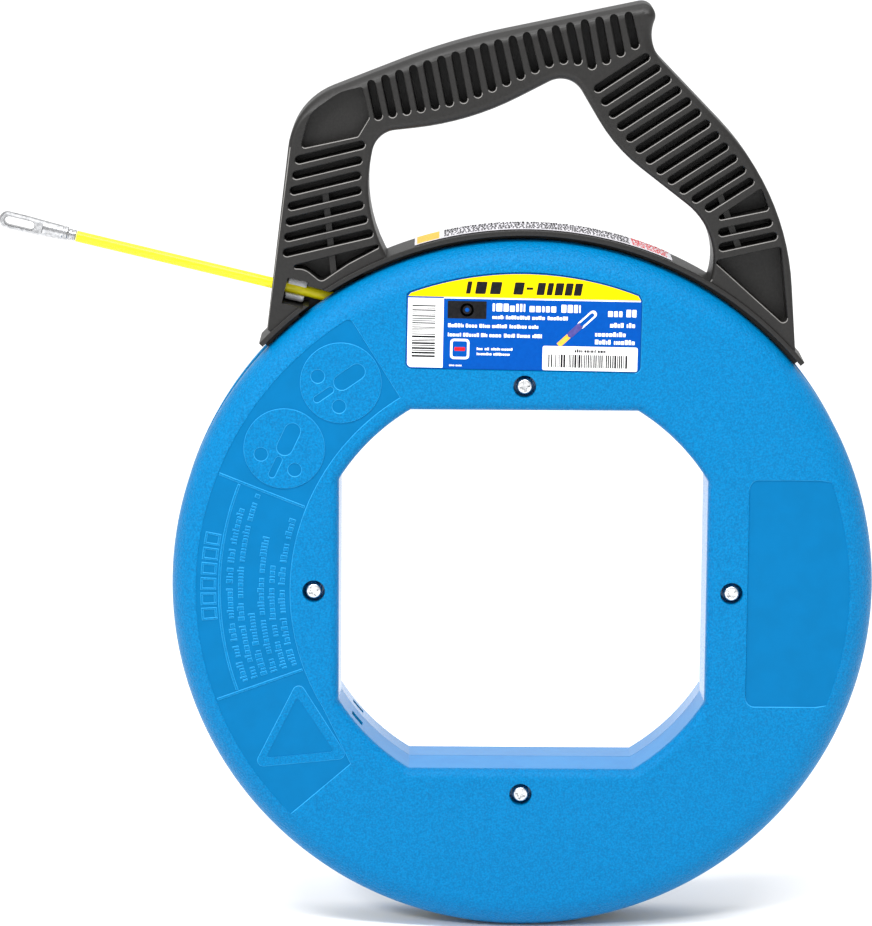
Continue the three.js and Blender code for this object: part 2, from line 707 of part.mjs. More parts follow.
const BLUE = 0x0398e1;
const BLACK = 0x35322f;
const YELLOW = 0xfef429;
const WHITE = 0xf2f2f0;
const METAL = 0xd6d6d4;

const reel = new THREE.Group();
reel.position.set(-HANG_X, 0, -HANG_Z);
reel.add(
  piece('handle', handle(), BLACK, 0.5),
  piece('tape_guide', tapeGuide(), METAL, 0.3, 1),
  piece('saddle_sticker', saddleSticker(), WHITE, 0.5),
  piece('case_front', caseFront(), BLUE, 0.45),
  piece('case_back', caseBack(), BLUE, 0.45),
  piece('front_label', frontLabel(), 0x0a7ddc, 0.3),
  piece('stock_sticker', stockSticker(), WHITE, 0.5),
  piece('tape_coil', tapeCoil(), YELLOW, 0.4),
  piece('tape_lead', tapeLead(), YELLOW, 0.4),
  piece('tape_ferrule', tapeFerrule(), METAL, 0.3, 1),
  piece('tape_eyelet', eyelet(), METAL, 0.25, 1),
);
screwPlaces().forEach(([x, z], i) => {
  const screw = piece(`case_screw_${i + 1}`, screwGeometry(), METAL, 0.3, 1);
  screw.position.set(x, 0, z);
  reel.add(screw);
});

const group = new THREE.Group();
group.add(reel);
export default group;
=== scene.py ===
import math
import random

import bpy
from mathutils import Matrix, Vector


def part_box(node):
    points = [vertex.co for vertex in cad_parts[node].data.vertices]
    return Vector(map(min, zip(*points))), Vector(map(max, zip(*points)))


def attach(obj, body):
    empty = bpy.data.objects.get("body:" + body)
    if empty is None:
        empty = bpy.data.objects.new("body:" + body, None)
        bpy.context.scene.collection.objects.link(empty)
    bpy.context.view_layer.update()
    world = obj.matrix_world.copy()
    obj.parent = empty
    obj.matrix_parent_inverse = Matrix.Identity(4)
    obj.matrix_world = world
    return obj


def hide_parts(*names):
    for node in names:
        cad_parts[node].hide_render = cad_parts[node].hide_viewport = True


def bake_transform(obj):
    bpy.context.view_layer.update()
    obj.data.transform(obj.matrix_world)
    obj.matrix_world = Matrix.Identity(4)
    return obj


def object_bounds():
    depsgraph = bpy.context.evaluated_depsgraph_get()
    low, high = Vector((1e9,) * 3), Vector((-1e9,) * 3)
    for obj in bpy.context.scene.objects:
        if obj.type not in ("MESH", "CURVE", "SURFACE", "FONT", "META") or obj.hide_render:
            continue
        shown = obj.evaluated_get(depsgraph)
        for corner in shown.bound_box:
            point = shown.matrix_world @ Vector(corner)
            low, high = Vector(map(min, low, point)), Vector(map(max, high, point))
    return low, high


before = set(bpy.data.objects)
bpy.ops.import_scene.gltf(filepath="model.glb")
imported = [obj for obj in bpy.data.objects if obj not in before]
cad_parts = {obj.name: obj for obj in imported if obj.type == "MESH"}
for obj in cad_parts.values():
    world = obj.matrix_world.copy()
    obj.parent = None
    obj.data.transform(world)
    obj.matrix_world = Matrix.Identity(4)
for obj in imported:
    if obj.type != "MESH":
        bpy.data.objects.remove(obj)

# Fish tape reel: a blue drum case that turns in a black carrying handle, with a yellow fibreglass
# tape that leaves through the handle's left leg and ends in a metal eyelet.
# Shapes are laid out in millimetres from the drum's centre (X right, Y away from the labelled
# face, Z up; angles are degrees clockwise from the top) and then moved into the frame's metres.

cad_low, cad_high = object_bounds()

# ---- driving sizes, in millimetres ----

MM = 0.001
case_low, case_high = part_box("case_front")
DRUM_CENTRE = Vector(((case_low.x + case_high.x) / 2, 0, (case_low.z + case_high.z) / 2))
FROM_DRUM = Matrix.Translation(DRUM_CENTRE) @ Matrix.Scale(MM, 4)
CASE_RADIUS = (case_high.x - case_low.x) / 2 / MM
CASE_HALF_DEPTH = -case_low.y / MM
FACE = -CASE_HALF_DEPTH
AWAY = Vector((0, 1, 0))  # from the labelled face to the back

RIM_ROUNDING = 13.5
RIM_SLOT_HALF = 5.2
LIP_THICKNESS = 3.3
WALL = 2.8
INNER_ROUNDING = 10.7
HUB_RADIUS = 96.6
HUB_WALL = 3.2
HUB_SLOT_TURN = 129.7  # degrees
PARTING_GAP = 0.15
REVOLVE_STEPS = 240

OPENING_HALF = 79.65
OPENING_CORNER_RADIUS = 93.5
OPENING_DRAFT = 0.8
OPENING_EDGE = 4.5

SCREW_CIRCLE = 90.5
SCREW_COUNT = 4
SCREW_HEAD_RADIUS = 3.35
SCREW_HEAD_HEIGHT = 2.3
SCREW_SHANK_RADIUS = 1.9
SCREW_LENGTH = 33
SCREW_ROOT_RADIUS = 1.45
SCREW_PITCH = 1.6
COUNTERBORE_RADIUS = 4.85
COUNTERBORE_DEPTH = 3.2
RELIEF_DEPTH = 7.5
BOSS_HALF_WIDTH = 8

LABEL_RECESS_DEPTH = 0.8
LABEL_FRONT = FACE + 0.4
LABEL_CENTRE = Vector((-0.7, 115))
LABEL_TURN = -0.8  # degrees
LABEL_LEFT, LABEL_RIGHT = -51.1, 49.8
LABEL_BOTTOM = 97.4
STICKER_FRONT = FACE + 0.15
LABEL_TOP_RADIUS = 140
PANEL_DEPTH = 0.5
PANEL_INNER_SIDE = 97.4
PANEL_HALF_WIDTH = 50.3
PANEL_OUTER_RADIUS = 141.6
LEFT_PANEL_INNER_RADIUS = 100.8
SIGN_CENTRES = ((-78.9, 91.7), (-103.2, 62.9))
SIGN_DEPTH = 0.35
MARK_EDGE = 0.2
MARK_DRAFT = 0.1
INK = 0.04

TAPE_RADIUS = 4.76 / 2
TAPE_PITCH = 4.78
COIL_LAYERS = 7
COIL_FIRST_ROW = 7.2
COIL_LEAVES_AT = 13.2  # degrees

GRIP_HALF_DEPTH = 13
SADDLE_HALF_WIDTH = 14.5
SADDLE_INNER_RADIUS = 154.6
SADDLE_OUTER_RADIUS = 156.8
SADDLE_FROM = -46.8
SADDLE_TO = 50.2
WEB_HALF = 4.7
WEB_WALL = 1.4  # what is left of the web behind the tape
WEB_LAP = 0.6
TAPE_GAP_FROM = -39.5
TAPE_GAP_TO = -27
RAIL_INNER_RADIUS = 144
RAIL_OUTER_RADIUS = 148.2
RAIL_HALF_WIDTH = 11.5
MIDDLE_WEB_HALF = 1.5
SLOT_WIDTH = 3.5
SHOULDER_POCKET_DEPTH = 7
RIM_CHAMFER = 0.34
RIB_WIDTH = 2.6
RIB_RECESS = 2.5

GUIDE = Vector((-98.8, 0, 129.1))
TAPE_SLOPE = math.radians(13.24)
OUTWARDS = Vector((-math.cos(TAPE_SLOPE), 0, math.sin(TAPE_SLOPE)))
GUIDE_RADIUS = 5.3
GUIDE_BORE_RADIUS = 2.8
GUIDE_LENGTH = 8.4
GUIDE_MOUTH_HALF = 2.1
WINDOW_BACK = 5.8
PASSAGE_BACK = 3.1
PASSAGE_HALF = 4.2
PASSAGE_START = -30
LEAD_START = -125.5
LEAD_END = 97.3
FERRULE_LENGTH = 3.2
EYELET_LENGTH = 30.3
EYE_WIDTH = 3.7
EYE_LENGTH = 9.3
TOUCH_GAP = 0.3


# ---- outlines: lists of (x, z) ----

def polar(radius, degrees):
    angle = math.radians(degrees)
    return radius * math.sin(angle), radius * math.cos(angle)


def arc(radius, start, end, step=1.5):
    count = max(1, round(abs(end - start) / step))
    return [polar(radius, start + (end - start) * k / count) for k in range(count + 1)]


def rounded(corners, closed=True, step=5):
    """Corner points (x, z, radius) as an outline whose corners are arcs of that radius."""
    outline = []
    last = len(corners) - 1
    for i, (x, z, radius) in enumerate(corners):
        here = Vector((x, z))
        if radius == 0 or (not closed and i in (0, last)):
            outline.append((x, z))
            continue
        arriving = (here - Vector(corners[i - 1][:2])).normalized()
        leaving = (Vector(corners[(i + 1) % len(corners)][:2]) - here).normalized()
        turn = math.atan2(arriving.x * leaving.y - arriving.y * leaving.x, arriving.dot(leaving))
        start = here - arriving * radius * math.tan(abs(turn) / 2)
        side = math.copysign(1, turn)
        centre = start + Vector((-arriving.y, arriving.x)) * side * radius
        count = max(2, round(math.degrees(abs(turn)) / step), round(abs(turn) * radius / 6))
        for k in range(count + 1):
            outline.append(tuple(centre + Matrix.Rotation(turn * k / count, 2) @ (start - centre)))
    return outline


def ring_sector(inner, outer, start, end, step=1.5):
    return arc(outer, start, end, step) + arc(inner, end, start, step)


def disc(centre, radius, count=48):
    points = [polar(radius, 360 * k / count) for k in range(count)]
    return [(centre[0] + x, centre[1] + z) for x, z in points]


def spun(outline, degrees, centre=(0, 0)):
    """The outline turned about a centre, anticlockwise as the labelled face is seen."""
    turn = Matrix.Rotation(math.radians(degrees), 2)
    middle = Vector(centre)
    return [tuple(middle + turn @ (Vector(point) - middle)) for point in outline]


def box(left, right, low, high, corner=0.0):
    corners = [(left, low, corner), (right, low, corner), (right, high, corner), (left, high, corner)]
    return rounded(corners, step=18)


def long_hole(start, end, width, count=8):
    along = math.atan2(end[1] - start[1], end[0] - start[0])
    outline = []
    for (x, z), first in ((end, along - math.pi / 2), (start, along + math.pi / 2)):
        for k in range(count + 1):
            angle = first + math.pi * k / count
            outline.append((x + math.cos(angle) * width / 2, z + math.sin(angle) * width / 2))
    return outline


def bar(start, end, width):
    along = (Vector(end) - Vector(start)).normalized()
    side = Vector((-along.y, along.x)) * width / 2
    ends = (Vector(start) - side, Vector(end) - side, Vector(end) + side, Vector(start) + side)
    return [tuple(p) for p in ends]


def area(outline):
    total = 0
    for (x1, z1), (x2, z2) in zip(outline, outline[1:] + outline[:1]):
        total += x1 * z2 - x2 * z1
    return total / 2


def grown(outline, amounts):
    """The outline moved outwards, by one amount or by one for each point."""
    count = len(outline)
    if isinstance(amounts, (int, float)):
        amounts = [amounts] * count
    turn = math.copysign(1, area(outline))
    moved = []
    for i, point in enumerate(outline):
        here = Vector(point)
        arriving = (here - Vector(outline[i - 1])).normalized()
        leaving = (Vector(outline[(i + 1) % count]) - here).normalized()
        normal = Vector((arriving.y + leaving.y, -arriving.x - leaving.x)) * turn
        moved.append(tuple(here + normal * amounts[i] * 2 / max(normal.length_squared, 0.4)))
    return moved


def cleaned(outline):
    """The outline without points that lie on the one before."""
    kept = []
    for point in outline:
        if not kept or (Vector(point) - Vector(kept[-1])).length > 1e-3:
            kept.append(point)
    if (Vector(kept[0]) - Vector(kept[-1])).length <= 1e-3:
        kept.pop()
    return kept


# ---- solids: objects in millimetres about the drum's centre ----

def linked(name, data):
    made = bpy.data.objects.new(name, data)
    bpy.context.scene.collection.objects.link(made)
    return made


def mesh_object(name, points, faces):
    mesh = bpy.data.meshes.new(name)
    mesh.from_pydata([tuple(p) for p in points], [], faces)
    return linked(name, mesh)


def face_outwards(made):
    """Turns a closed mesh's faces to point out of it."""
    mesh = made.data
    mesh.calc_loop_triangles()
    volume = 0
    for triangle in mesh.loop_triangles:
        a, b, c = (mesh.vertices[i].co for i in triangle.vertices)
        volume += a.dot(b.cross(c))
    if volume < 0:
        mesh.flip_normals()
    return made


def loft(name, rings, closed_loop=False):
    """A closed body through rings of equal point count, with flat ends unless it closes on itself."""
    size = len(rings[0])
    faces = []
    for level in range(len(rings) if closed_loop else len(rings) - 1):
        for i in range(size):
            j = (i + 1) % size
            a = level * size
            b = (level + 1) % len(rings) * size
            faces.append((a + i, a + j, b + j, b + i))
    if not closed_loop:
        last = (len(rings) - 1) * size
        faces.append(tuple(reversed(range(size))))
        faces.append(tuple(range(last, last + size)))
    return face_outwards(mesh_object(name, [p for ring in rings for p in ring], faces))


def plate(name, outline, levels):
    """An outline in the face plane as a body through levels of (y, growth)."""
    outline = cleaned(outline)
    return loft(name, [[(x, y, z) for x, z in grown(outline, growth)] for y, growth in levels])


def turned(name, profile, steps=REVOLVE_STEPS):
    """A ring about the drum's axis. The profile is a closed line of (radius, y)."""
    rings = []
    for k in range(steps):
        angle = math.tau * k / steps
        rings.append([(r * math.sin(angle), y, r * math.cos(angle)) for r, y in profile])
    return loft(name, rings, closed_loop=True)


def turned_on_line(name, profile, origin, along, steps=64):
    """A body about a line. The profile runs along the line as (radius, distance), and may close."""
    along = along.normalized()
    side = along.orthogonal().normalized()
    other = along.cross(side)
    closed = profile[0] == profile[-1]
    rings = []
    for radius, distance in profile[:-1] if closed else profile:
        middle = origin + along * distance
        ring = []
        for k in range(steps):
            angle = math.tau * k / steps
            ring.append(middle + (side * math.cos(angle) + other * math.sin(angle)) * radius)
        rings.append(ring)
    return loft(name, rings, closed_loop=closed)


def joined(name, parts):
    """Separate closed bodies as one object."""
    points, faces = [], []
    for part in parts:
        base = len(points)
        points += [v.co.copy() for v in part.data.vertices]
        faces += [tuple(base + i for i in polygon.vertices) for polygon in part.data.polygons]
        drop(part)
    return mesh_object(name, points, faces)


def drop(part):
    mesh = part.data
    bpy.data.objects.remove(part)
    bpy.data.meshes.remove(mesh)


def combine(body, tool, operation):
    modifier = body.modifiers.new("combine", "BOOLEAN")
    modifier.operation = operation
    modifier.solver = "EXACT"
    modifier.object = tool
    graph = bpy.context.evaluated_depsgraph_get()
    result = bpy.data.meshes.new_from_object(body.evaluated_get(graph))
    body.modifiers.clear()
    old = body.data
    body.data = result
    bpy.data.meshes.remove(old)
    drop(tool)
    return body


def cut(body, *tools):
    for tool in tools:
        combine(body, tool, "DIFFERENCE")
    return body


def add(body, *extras):
    for extra in extras:
        combine(body, extra, "UNION")
    return body


def quarter(centre, radius, start, end, count):
    """Points (radius, y) on an arc of a profile."""
    points = []
    for k in range(count + 1):
        angle = math.radians(start + (end - start) * k / count)
        points.append((centre[0] + radius * math.cos(angle), centre[1] + radius * math.sin(angle)))
    return points


def shade(made, material, sharp):
    """Moves a piece into the frame, colours it and smooths its shading up to an angle."""
    made.data.transform(FROM_DRUM)
    if not made.data.materials:
        made.data.materials.append(material)
    made.data.shade_smooth()
    made.data.set_sharp_from_angle(angle=math.radians(sharp))


def finish_piece(made, body, material, nodes=(), sharp=32):
    """Shades a piece and hands it to its body."""
    shade(made, material, sharp)
    shading = made.modifiers.new("even_shading", "WEIGHTED_NORMAL")
    shading.keep_sharp = True
    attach(made, body)
    if nodes:
        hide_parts(*nodes)


def in_frame(point):
    return FROM_DRUM @ Vector(point)


# ---- camera ----

CAMERA_PLACE = Vector((-37.86, -1782.54, 398.83))
CAMERA_TILT = 10.99
CAMERA_ROLL = 0.36
CAMERA_LENS = 161.98
CAMERA_SENSOR = 36


def make_camera():
    data = bpy.data.cameras.new("camera")
    data.lens = CAMERA_LENS
    data.sensor_width = CAMERA_SENSOR
    camera = linked("camera", data)
    tilt = Matrix.Rotation(math.radians(90 - CAMERA_TILT), 4, "X")
    roll = Matrix.Rotation(math.radians(CAMERA_ROLL), 4, "Z")
    camera.matrix_world = Matrix.Translation(in_frame(CAMERA_PLACE)) @ tilt @ roll
    bpy.context.scene.camera = camera


# ---- materials ----

def srgb(colour):
    """A colour given as 0 to 255 in sRGB, as linear light."""
    linear = []
    for value in colour:
        c = value / 255
        linear.append(c / 12.92 if c <= 0.04045 else ((c + 0.055) / 1.055) ** 2.4)
    return (*linear, 1.0)


def shader(name, roughness, metallic=0.0, specular=0.5):
    """A new material's node tree and its surface shader."""
    material = bpy.data.materials.new(name)
    material.use_nodes = True
    surface = material.node_tree.nodes["Principled BSDF"]
    surface.inputs["Roughness"].default_value = roughness
    surface.inputs["Metallic"].default_value = metallic
    surface.inputs["Specular IOR Level"].default_value = specular
    return material, surface


def noise(material, size, detail=2.0, stretch=None):
    """Noise over the piece's own coordinates. Size is the grain's width in millimetres."""
    tree = material.node_tree
    place = tree.nodes.new("ShaderNodeTexCoord")
    texture = tree.nodes.new("ShaderNodeTexNoise")
    texture.inputs["Scale"].default_value = 1 / (size * MM)
    texture.inputs["Detail"].default_value = detail
    if stretch is None:
        tree.links.new(place.outputs["Object"], texture.inputs["Vector"])
    else:
        mapping = tree.nodes.new("ShaderNodeMapping")
        mapping.inputs["Rotation"].default_value = stretch[0]
        mapping.inputs["Scale"].default_value = stretch[1]
        tree.links.new(place.outputs["Object"], mapping.inputs["Vector"])
        tree.links.new(mapping.outputs["Vector"], texture.inputs["Vector"])
    return texture.outputs["Fac"]


def paint(material, surface, factor, dark, light):
    """The base colour: a mix of two, by a noise that is spread over its middle range."""
    tree = material.node_tree
    ramp = tree.nodes.new("ShaderNodeValToRGB")
    for element, place, colour in zip(ramp.color_ramp.elements, (0.35, 0.65), (dark, light)):
        element.position = place
        element.color = srgb(colour)
    tree.links.new(factor, ramp.inputs["Fac"])
    tree.links.new(ramp.outputs["Color"], surface.inputs["Base Color"])


def vary_roughness(material, surface, factor, low, high):
    tree = material.node_tree
    span = tree.nodes.new("ShaderNodeMapRange")
    span.inputs["To Min"].default_value = low
    span.inputs["To Max"].default_value = high
    tree.links.new(factor, span.inputs["Value"])
    tree.links.new(span.outputs["Result"], surface.inputs["Roughness"])


def bump(material, surface, layers):
    """Stacks bumps of (height output, depth in millimetres) on a surface."""
    tree = material.node_tree
    normal = None
    for height, depth in layers:
        relief = tree.nodes.new("ShaderNodeBump")
        relief.inputs["Distance"].default_value = depth * MM
        tree.links.new(height, relief.inputs["Height"])
        if normal is not None:
            tree.links.new(normal, relief.inputs["Normal"])
        normal = relief.outputs["Normal"]
    tree.links.new(normal, surface.inputs["Normal"])


def look(name, dark, light, roughness, specular=0.5, metallic=0.0,
         spots=1.2, detail=2.0, gloss=None, grains=()):
    """A new material of two close colours in spots, with an optional varying gloss and grains.

    Spots is a width, gloss is (width, detail, smoother by, rougher by) and each grain is
    (width, depth). Widths and depths are in millimetres.
    """
    material, surface = shader(name, roughness, metallic, specular)
    paint(material, surface, noise(material, spots, detail), dark, light)
    if gloss:
        width, fineness, less, more = gloss
        factor = noise(material, width, fineness)
        vary_roughness(material, surface, factor, roughness - less, roughness + more)
    if grains:
        bump(material, surface, [(noise(material, width), depth) for width, depth in grains])
    return material


def plastic(name, dark, light, roughness, specular, grains, mottle=9.0):
    """Moulded plastic: a varying gloss and a moulded grain."""
    gloss = (1.6, 3.0, 0.05, 0.07)
    return look(name, dark, light, roughness, specular, spots=mottle, detail=3.0, gloss=gloss, grains=grains)


def tape_yellow():
    """Glass fibre in clear yellow resin: faint streaks along the tape under a soft gloss."""
    material, surface = shader("tape_yellow", 0.3, specular=0.4)
    streaks = noise(material, 0.45, 2.0, ((0, TAPE_SLOPE, 0), (0.04, 1, 1)))
    paint(material, surface, streaks, (246, 228, 4), (255, 246, 38))
    vary_roughness(material, surface, streaks, 0.24, 0.4)
    bump(material, surface, [(streaks, 0.02)])
    return material


def metal(name, dark, light, roughness, grain, depth):
    gloss = (0.9, 2.0, 0.06, 0.1)
    return look(name, dark, light, roughness, metallic=1.0, spots=1.5, gloss=gloss, grains=[(grain, depth)])


def printed(name, dark, light, roughness):
    """Ink on film, and the metal guide in a near-white diffuse colour as a painted reflection: an almost even
    colour with a faint orange-peel surface.
    """
    return look(name, dark, light, roughness, 0.05, grains=[(1.8, 0.006)])


# ---- drum case ----

def opening_outline():
    edge = math.degrees(math.acos(OPENING_HALF / OPENING_CORNER_RADIUS))
    outline = []
    for quadrant in (0, 90, 180, 270):
        outline += arc(OPENING_CORNER_RADIUS, quadrant + edge, quadrant + 90 - edge, 1.5)
    return outline


def opening_cutter():
    """The centre opening: a square with corners cut by a circle, rounded at both faces."""
    growth = [(CASE_HALF_DEPTH + 1, OPENING_EDGE + 0.8)]
    for inwards, along in quarter((0, 0), OPENING_EDGE, 0, 90, 9):
        growth.append((CASE_HALF_DEPTH - OPENING_EDGE + inwards, OPENING_EDGE - along))
    levels = [(-y, amount) for y, amount in growth]
    levels.append((0, -OPENING_DRAFT))
    levels += reversed(growth)
    return plate("opening", opening_outline(), levels)


def case_shell(name, side):
    """One case half: face, rounded rim, lip, tape chamber and hub."""
    rim_centre = (CASE_RADIUS - RIM_ROUNDING, CASE_HALF_DEPTH - RIM_ROUNDING)
    lip = CASE_RADIUS - LIP_THICKNESS
    inner_centre = (lip - INNER_ROUNDING, CASE_HALF_DEPTH - WALL - INNER_ROUNDING)
    edge = 0.5
    core = 70  # the centre opening cuts this away
    profile = [
        (core, CASE_HALF_DEPTH),
        *quarter(rim_centre, RIM_ROUNDING, 90, 0, 14),
        *quarter((CASE_RADIUS - edge, RIM_SLOT_HALF + edge), edge, 0, -90, 3),
        *quarter((lip + edge, RIM_SLOT_HALF + edge), edge, -90, -180, 3),
        *quarter(inner_centre, INNER_ROUNDING, 0, 90, 8),
        (HUB_RADIUS + 1.5, CASE_HALF_DEPTH - WALL),
        (HUB_RADIUS, CASE_HALF_DEPTH - WALL - 1.5),
        (HUB_RADIUS, PARTING_GAP),
        (core, PARTING_GAP),
    ]
    return turned(name, [(radius, side * y) for radius, y in profile])


def hub_pockets(side):
    """Hollows between the opening's wall and the hub's wall, either side of each screw boss."""
    wall_radius = HUB_RADIUS - HUB_WALL
    floor = OPENING_HALF + HUB_WALL
    widest = math.degrees(math.acos((floor + 2) / wall_radius))
    boss = math.degrees(math.asin(BOSS_HALF_WIDTH / wall_radius))
    pocket = arc(wall_radius, boss, widest, 3)
    pocket += [(polar(wall_radius, widest)[0], floor), (BOSS_HALF_WIDTH, floor)]
    levels = [(side * -1, 0), (side * (CASE_HALF_DEPTH - WALL), 0)]
    parts = []
    for quadrant in (0, 90, 180, 270):
        for mirror in (1, -1):
            outline = spun([(x * mirror, z) for x, z in pocket], quadrant)
            parts.append(plate("pocket", outline, levels))
    return joined("pockets", parts)


def hub_slot(side):
    """The slot through the hub's wall where the tape's inner end is made fast."""
    outline = spun(box(-3.5, 3.5, HUB_RADIUS - 7, HUB_RADIUS + 7), HUB_SLOT_TURN)
    return plate("hub_slot", outline, [(side * 8, 0), (side * 13, 0)])


def screw_places():
    return [polar(SCREW_CIRCLE, 360 * k / SCREW_COUNT) for k in range(SCREW_COUNT)]


def counterbores():
    """Deep round reliefs with the screw's seat standing in them."""
    outer = COUNTERBORE_RADIUS
    seat = SCREW_HEAD_RADIUS + 0.15
    hole = SCREW_SHANK_RADIUS + 0.4
    through = CASE_HALF_DEPTH + 1
    shape = [
        (0.01, -1), (outer + 0.35, -1), (outer + 0.35, 0), (outer + 0.1, 0.1), (outer, 0.35),
        (outer, RELIEF_DEPTH), (seat, RELIEF_DEPTH), (seat, COUNTERBORE_DEPTH),
        (hole, COUNTERBORE_DEPTH), (hole, through), (0.01, through),
    ]
    parts = []
    for x, z in screw_places():
        parts.append(turned_on_line("counterbore", shape, Vector((x, FACE, z)), AWAY, 48))
    return joined("counterbores", parts)


def on_label(outline):
    """The label and its recess sit slightly clockwise."""
    return spun(outline, LABEL_TURN, LABEL_CENTRE)


def label_outline(inset):
    radius = LABEL_TOP_RADIUS - inset
    left, right, bottom = LABEL_LEFT + inset, LABEL_RIGHT - inset, LABEL_BOTTOM + inset
    shoulder = math.sqrt(radius ** 2 - left ** 2)
    start = math.degrees(math.asin((left + 1.2) / radius))
    end = math.degrees(math.asin((right - 1.2) / radius))
    feet = [(right, shoulder - 1.6, 0), (right, bottom, 2.5), (left, bottom, 2.5), (left, shoulder - 1, 0)]
    return arc(radius, start, end, 1) + rounded(feet, closed=False)


def right_panel_outline():
    half, inner = PANEL_HALF_WIDTH, PANEL_INNER_SIDE
    side = [(128, -half, 0), (inner, -half, 4), (inner, half, 4), (128, half, 0)]
    return arc(PANEL_OUTER_RADIUS, 69.5, 110.5) + rounded(side, closed=False)


def left_panel_outline():
    corner = rounded([
        (*polar(PANEL_OUTER_RADIUS, -33.4), 0), (*polar(PANEL_OUTER_RADIUS, -32), 2.6),
        (*polar(LEFT_PANEL_INNER_RADIUS, -32), 0),
    ], closed=False)
    inner = arc(LEFT_PANEL_INNER_RADIUS, -32, -121)
    return arc(PANEL_OUTER_RADIUS, -134.8, -33.6) + corner + inner[1:] + [polar(107, -136)]


def recess(name, outline, depth):
    """A shallow recess whose sides slope inwards to its floor."""
    levels = [(FACE - 1, MARK_EDGE), (FACE, MARK_EDGE), (FACE + depth, -MARK_DRAFT)]
    return plate(name, outline, levels)


def raised(name, outline, height):
    """A mark that stands on a recess's floor, with sides that slope inwards to its top."""
    floor = FACE + PANEL_DEPTH
    foot = 0.14
    levels = [(floor + 0.3, foot), (floor, foot), (floor - height, -MARK_DRAFT)]
    return plate(name, outline, levels)


def tape_mark(centre, angle):
    """A plain sign of a tape end: a long eye on a short stem, with a dot on either side."""
    along = Vector((math.cos(math.radians(angle)), math.sin(math.radians(angle))))
    across = Vector((-along.y, along.x))
    middle = Vector(centre)
    eye = long_hole(middle + along * 0.5, middle + along * 8.5, 7)
    stem = long_hole(middle - along * 12.5, middle - along * 5.5, 3)
    dots = [disc(tuple(middle - along * 6.5 + across * side), 3, 24) for side in (-8, 8)]
    return eye, stem, *dots


def warning_rows(generator):
    """Rows of small plain raised strokes along arcs, in place of the moulded warning's lines."""
    outer_row, row_pitch, first_angle = 126.8, 4.5, -108.4
    outlines = []
    for row, last_angle in enumerate((-73, -70, -94, -77, -84, -71)):
        radius = outer_row - row_pitch * row
        stroke = math.degrees(0.62 / radius)
        angle = first_angle
        strokes_left = generator.randint(3, 9)
        while angle < last_angle:
            high = radius + generator.choice((0.75, 0.75, 1.5))
            wide = stroke * generator.choice((1, 1, 2.4))
            outlines.append(ring_sector(radius - 1.15, high, angle, angle + wide, 1))
            angle += wide + stroke * 1.25
            strokes_left -= 1
            if strokes_left < 0:
                angle += 3 * stroke
                strokes_left = generator.randint(3, 9)
    return outlines


def heading_blocks():
    """Hollow blocks on the panel's outer band, in place of the moulded heading's letters.

    Each frame is one outline, so a narrow gap is left in its lower line.
    """
    low, high, line = 132.8, 139.4, 0.8
    first, pitch, width = -95.4, 2.8, 2.2
    side = math.degrees(line / high)
    outlines = []
    for k in range(6):
        start = first + pitch * k
        end = start + width
        gap = start + 1.5 * side
        outer = arc(high, start, end, 0.7) + arc(low, end, gap, 0.7)
        inner = arc(low + line, gap, end - side, 0.7) + arc(high - line, end - side, start + side, 0.7)
        outlines.append(outer + inner + [polar(low, start + side), polar(low, start)])
    return outlines


def left_panel_marks():
    """Everything that stands on the left panel's floor."""
    generator = random.Random(7)
    low, high = 0.3, PANEL_DEPTH
    marks = []
    for centre in SIGN_CENTRES:
        marks.append(raised("disc", disc(centre, 17.4, 72), high))
    for angle in (-68.5, -110.1):
        marks.append(raised("divider", bar(polar(101.6, angle), polar(141, angle), 0.9), low))
    marks.append(raised("arc_line", ring_sector(130.9, 131.8, -109.6, -69), low))
    for outline in warning_rows(generator) + heading_blocks():
        marks.append(raised("stroke", outline, low))
    return joined("marks", marks)


def triangle_mark():
    outer = rounded([(-97.2, -39.5, 2.6), (-116.8, -78.8, 2.6), (-75.2, -74.6, 2.6)])
    inner = rounded([(-97.6, -47.0, 1.0), (-111.4, -74.6, 1.0), (-81.4, -71.6, 1.0)])
    floor = FACE + PANEL_DEPTH
    levels = [(FACE - 2, 0.1), (floor - 0.02, 0), (floor + 0.3, 0)]
    return cut(raised("triangle", outer, 0.25), plate("inside", inner, levels))


def disc_signs():
    """The plain signs sunk into the two raised discs."""
    signs = []
    for centre, angle in zip(SIGN_CENTRES, (35, 65)):
        for outline in tape_mark(centre, angle):
            signs.append(recess("sign", outline, SIGN_DEPTH))
    return joined("signs", signs)


def sort_case_faces(made, looks):
    """Gives each face its look: 0 the moulded grain, 1 smooth floors, 2 the opening's wall in a paler blue as
    a painted sheen, 3 the sides of marks and recesses in a lighter blue as painted highlights.
    """
    mesh = made.data
    for material in looks:
        mesh.materials.append(material)
    floors = [FACE + depth for depth in (PANEL_DEPTH, LABEL_RECESS_DEPTH, SIGN_DEPTH)]
    flat, sloping = 0.95, 0.93
    marks_from, marks_to = 100, 139.9
    for polygon in mesh.polygons:
        x, y, z = polygon.center
        radius = math.hypot(x, z)
        facing = abs(polygon.normal.y)
        if facing > flat and any(abs(y - floor) < 0.03 for floor in floors):
            polygon.material_index = 1
        # the opening's wall: a paler blue, painted sheen of its grazing reflection; its higher gloss gives
        # the rest
        elif abs(y) < CASE_HALF_DEPTH - OPENING_EDGE and radius < HUB_RADIUS - HUB_WALL:
            polygon.material_index = 2
        # sides of the marks and recesses: a lighter blue, painted highlights
        elif y < FACE + PANEL_DEPTH and facing < sloping and marks_from < radius < marks_to:
            polygon.material_index = 3


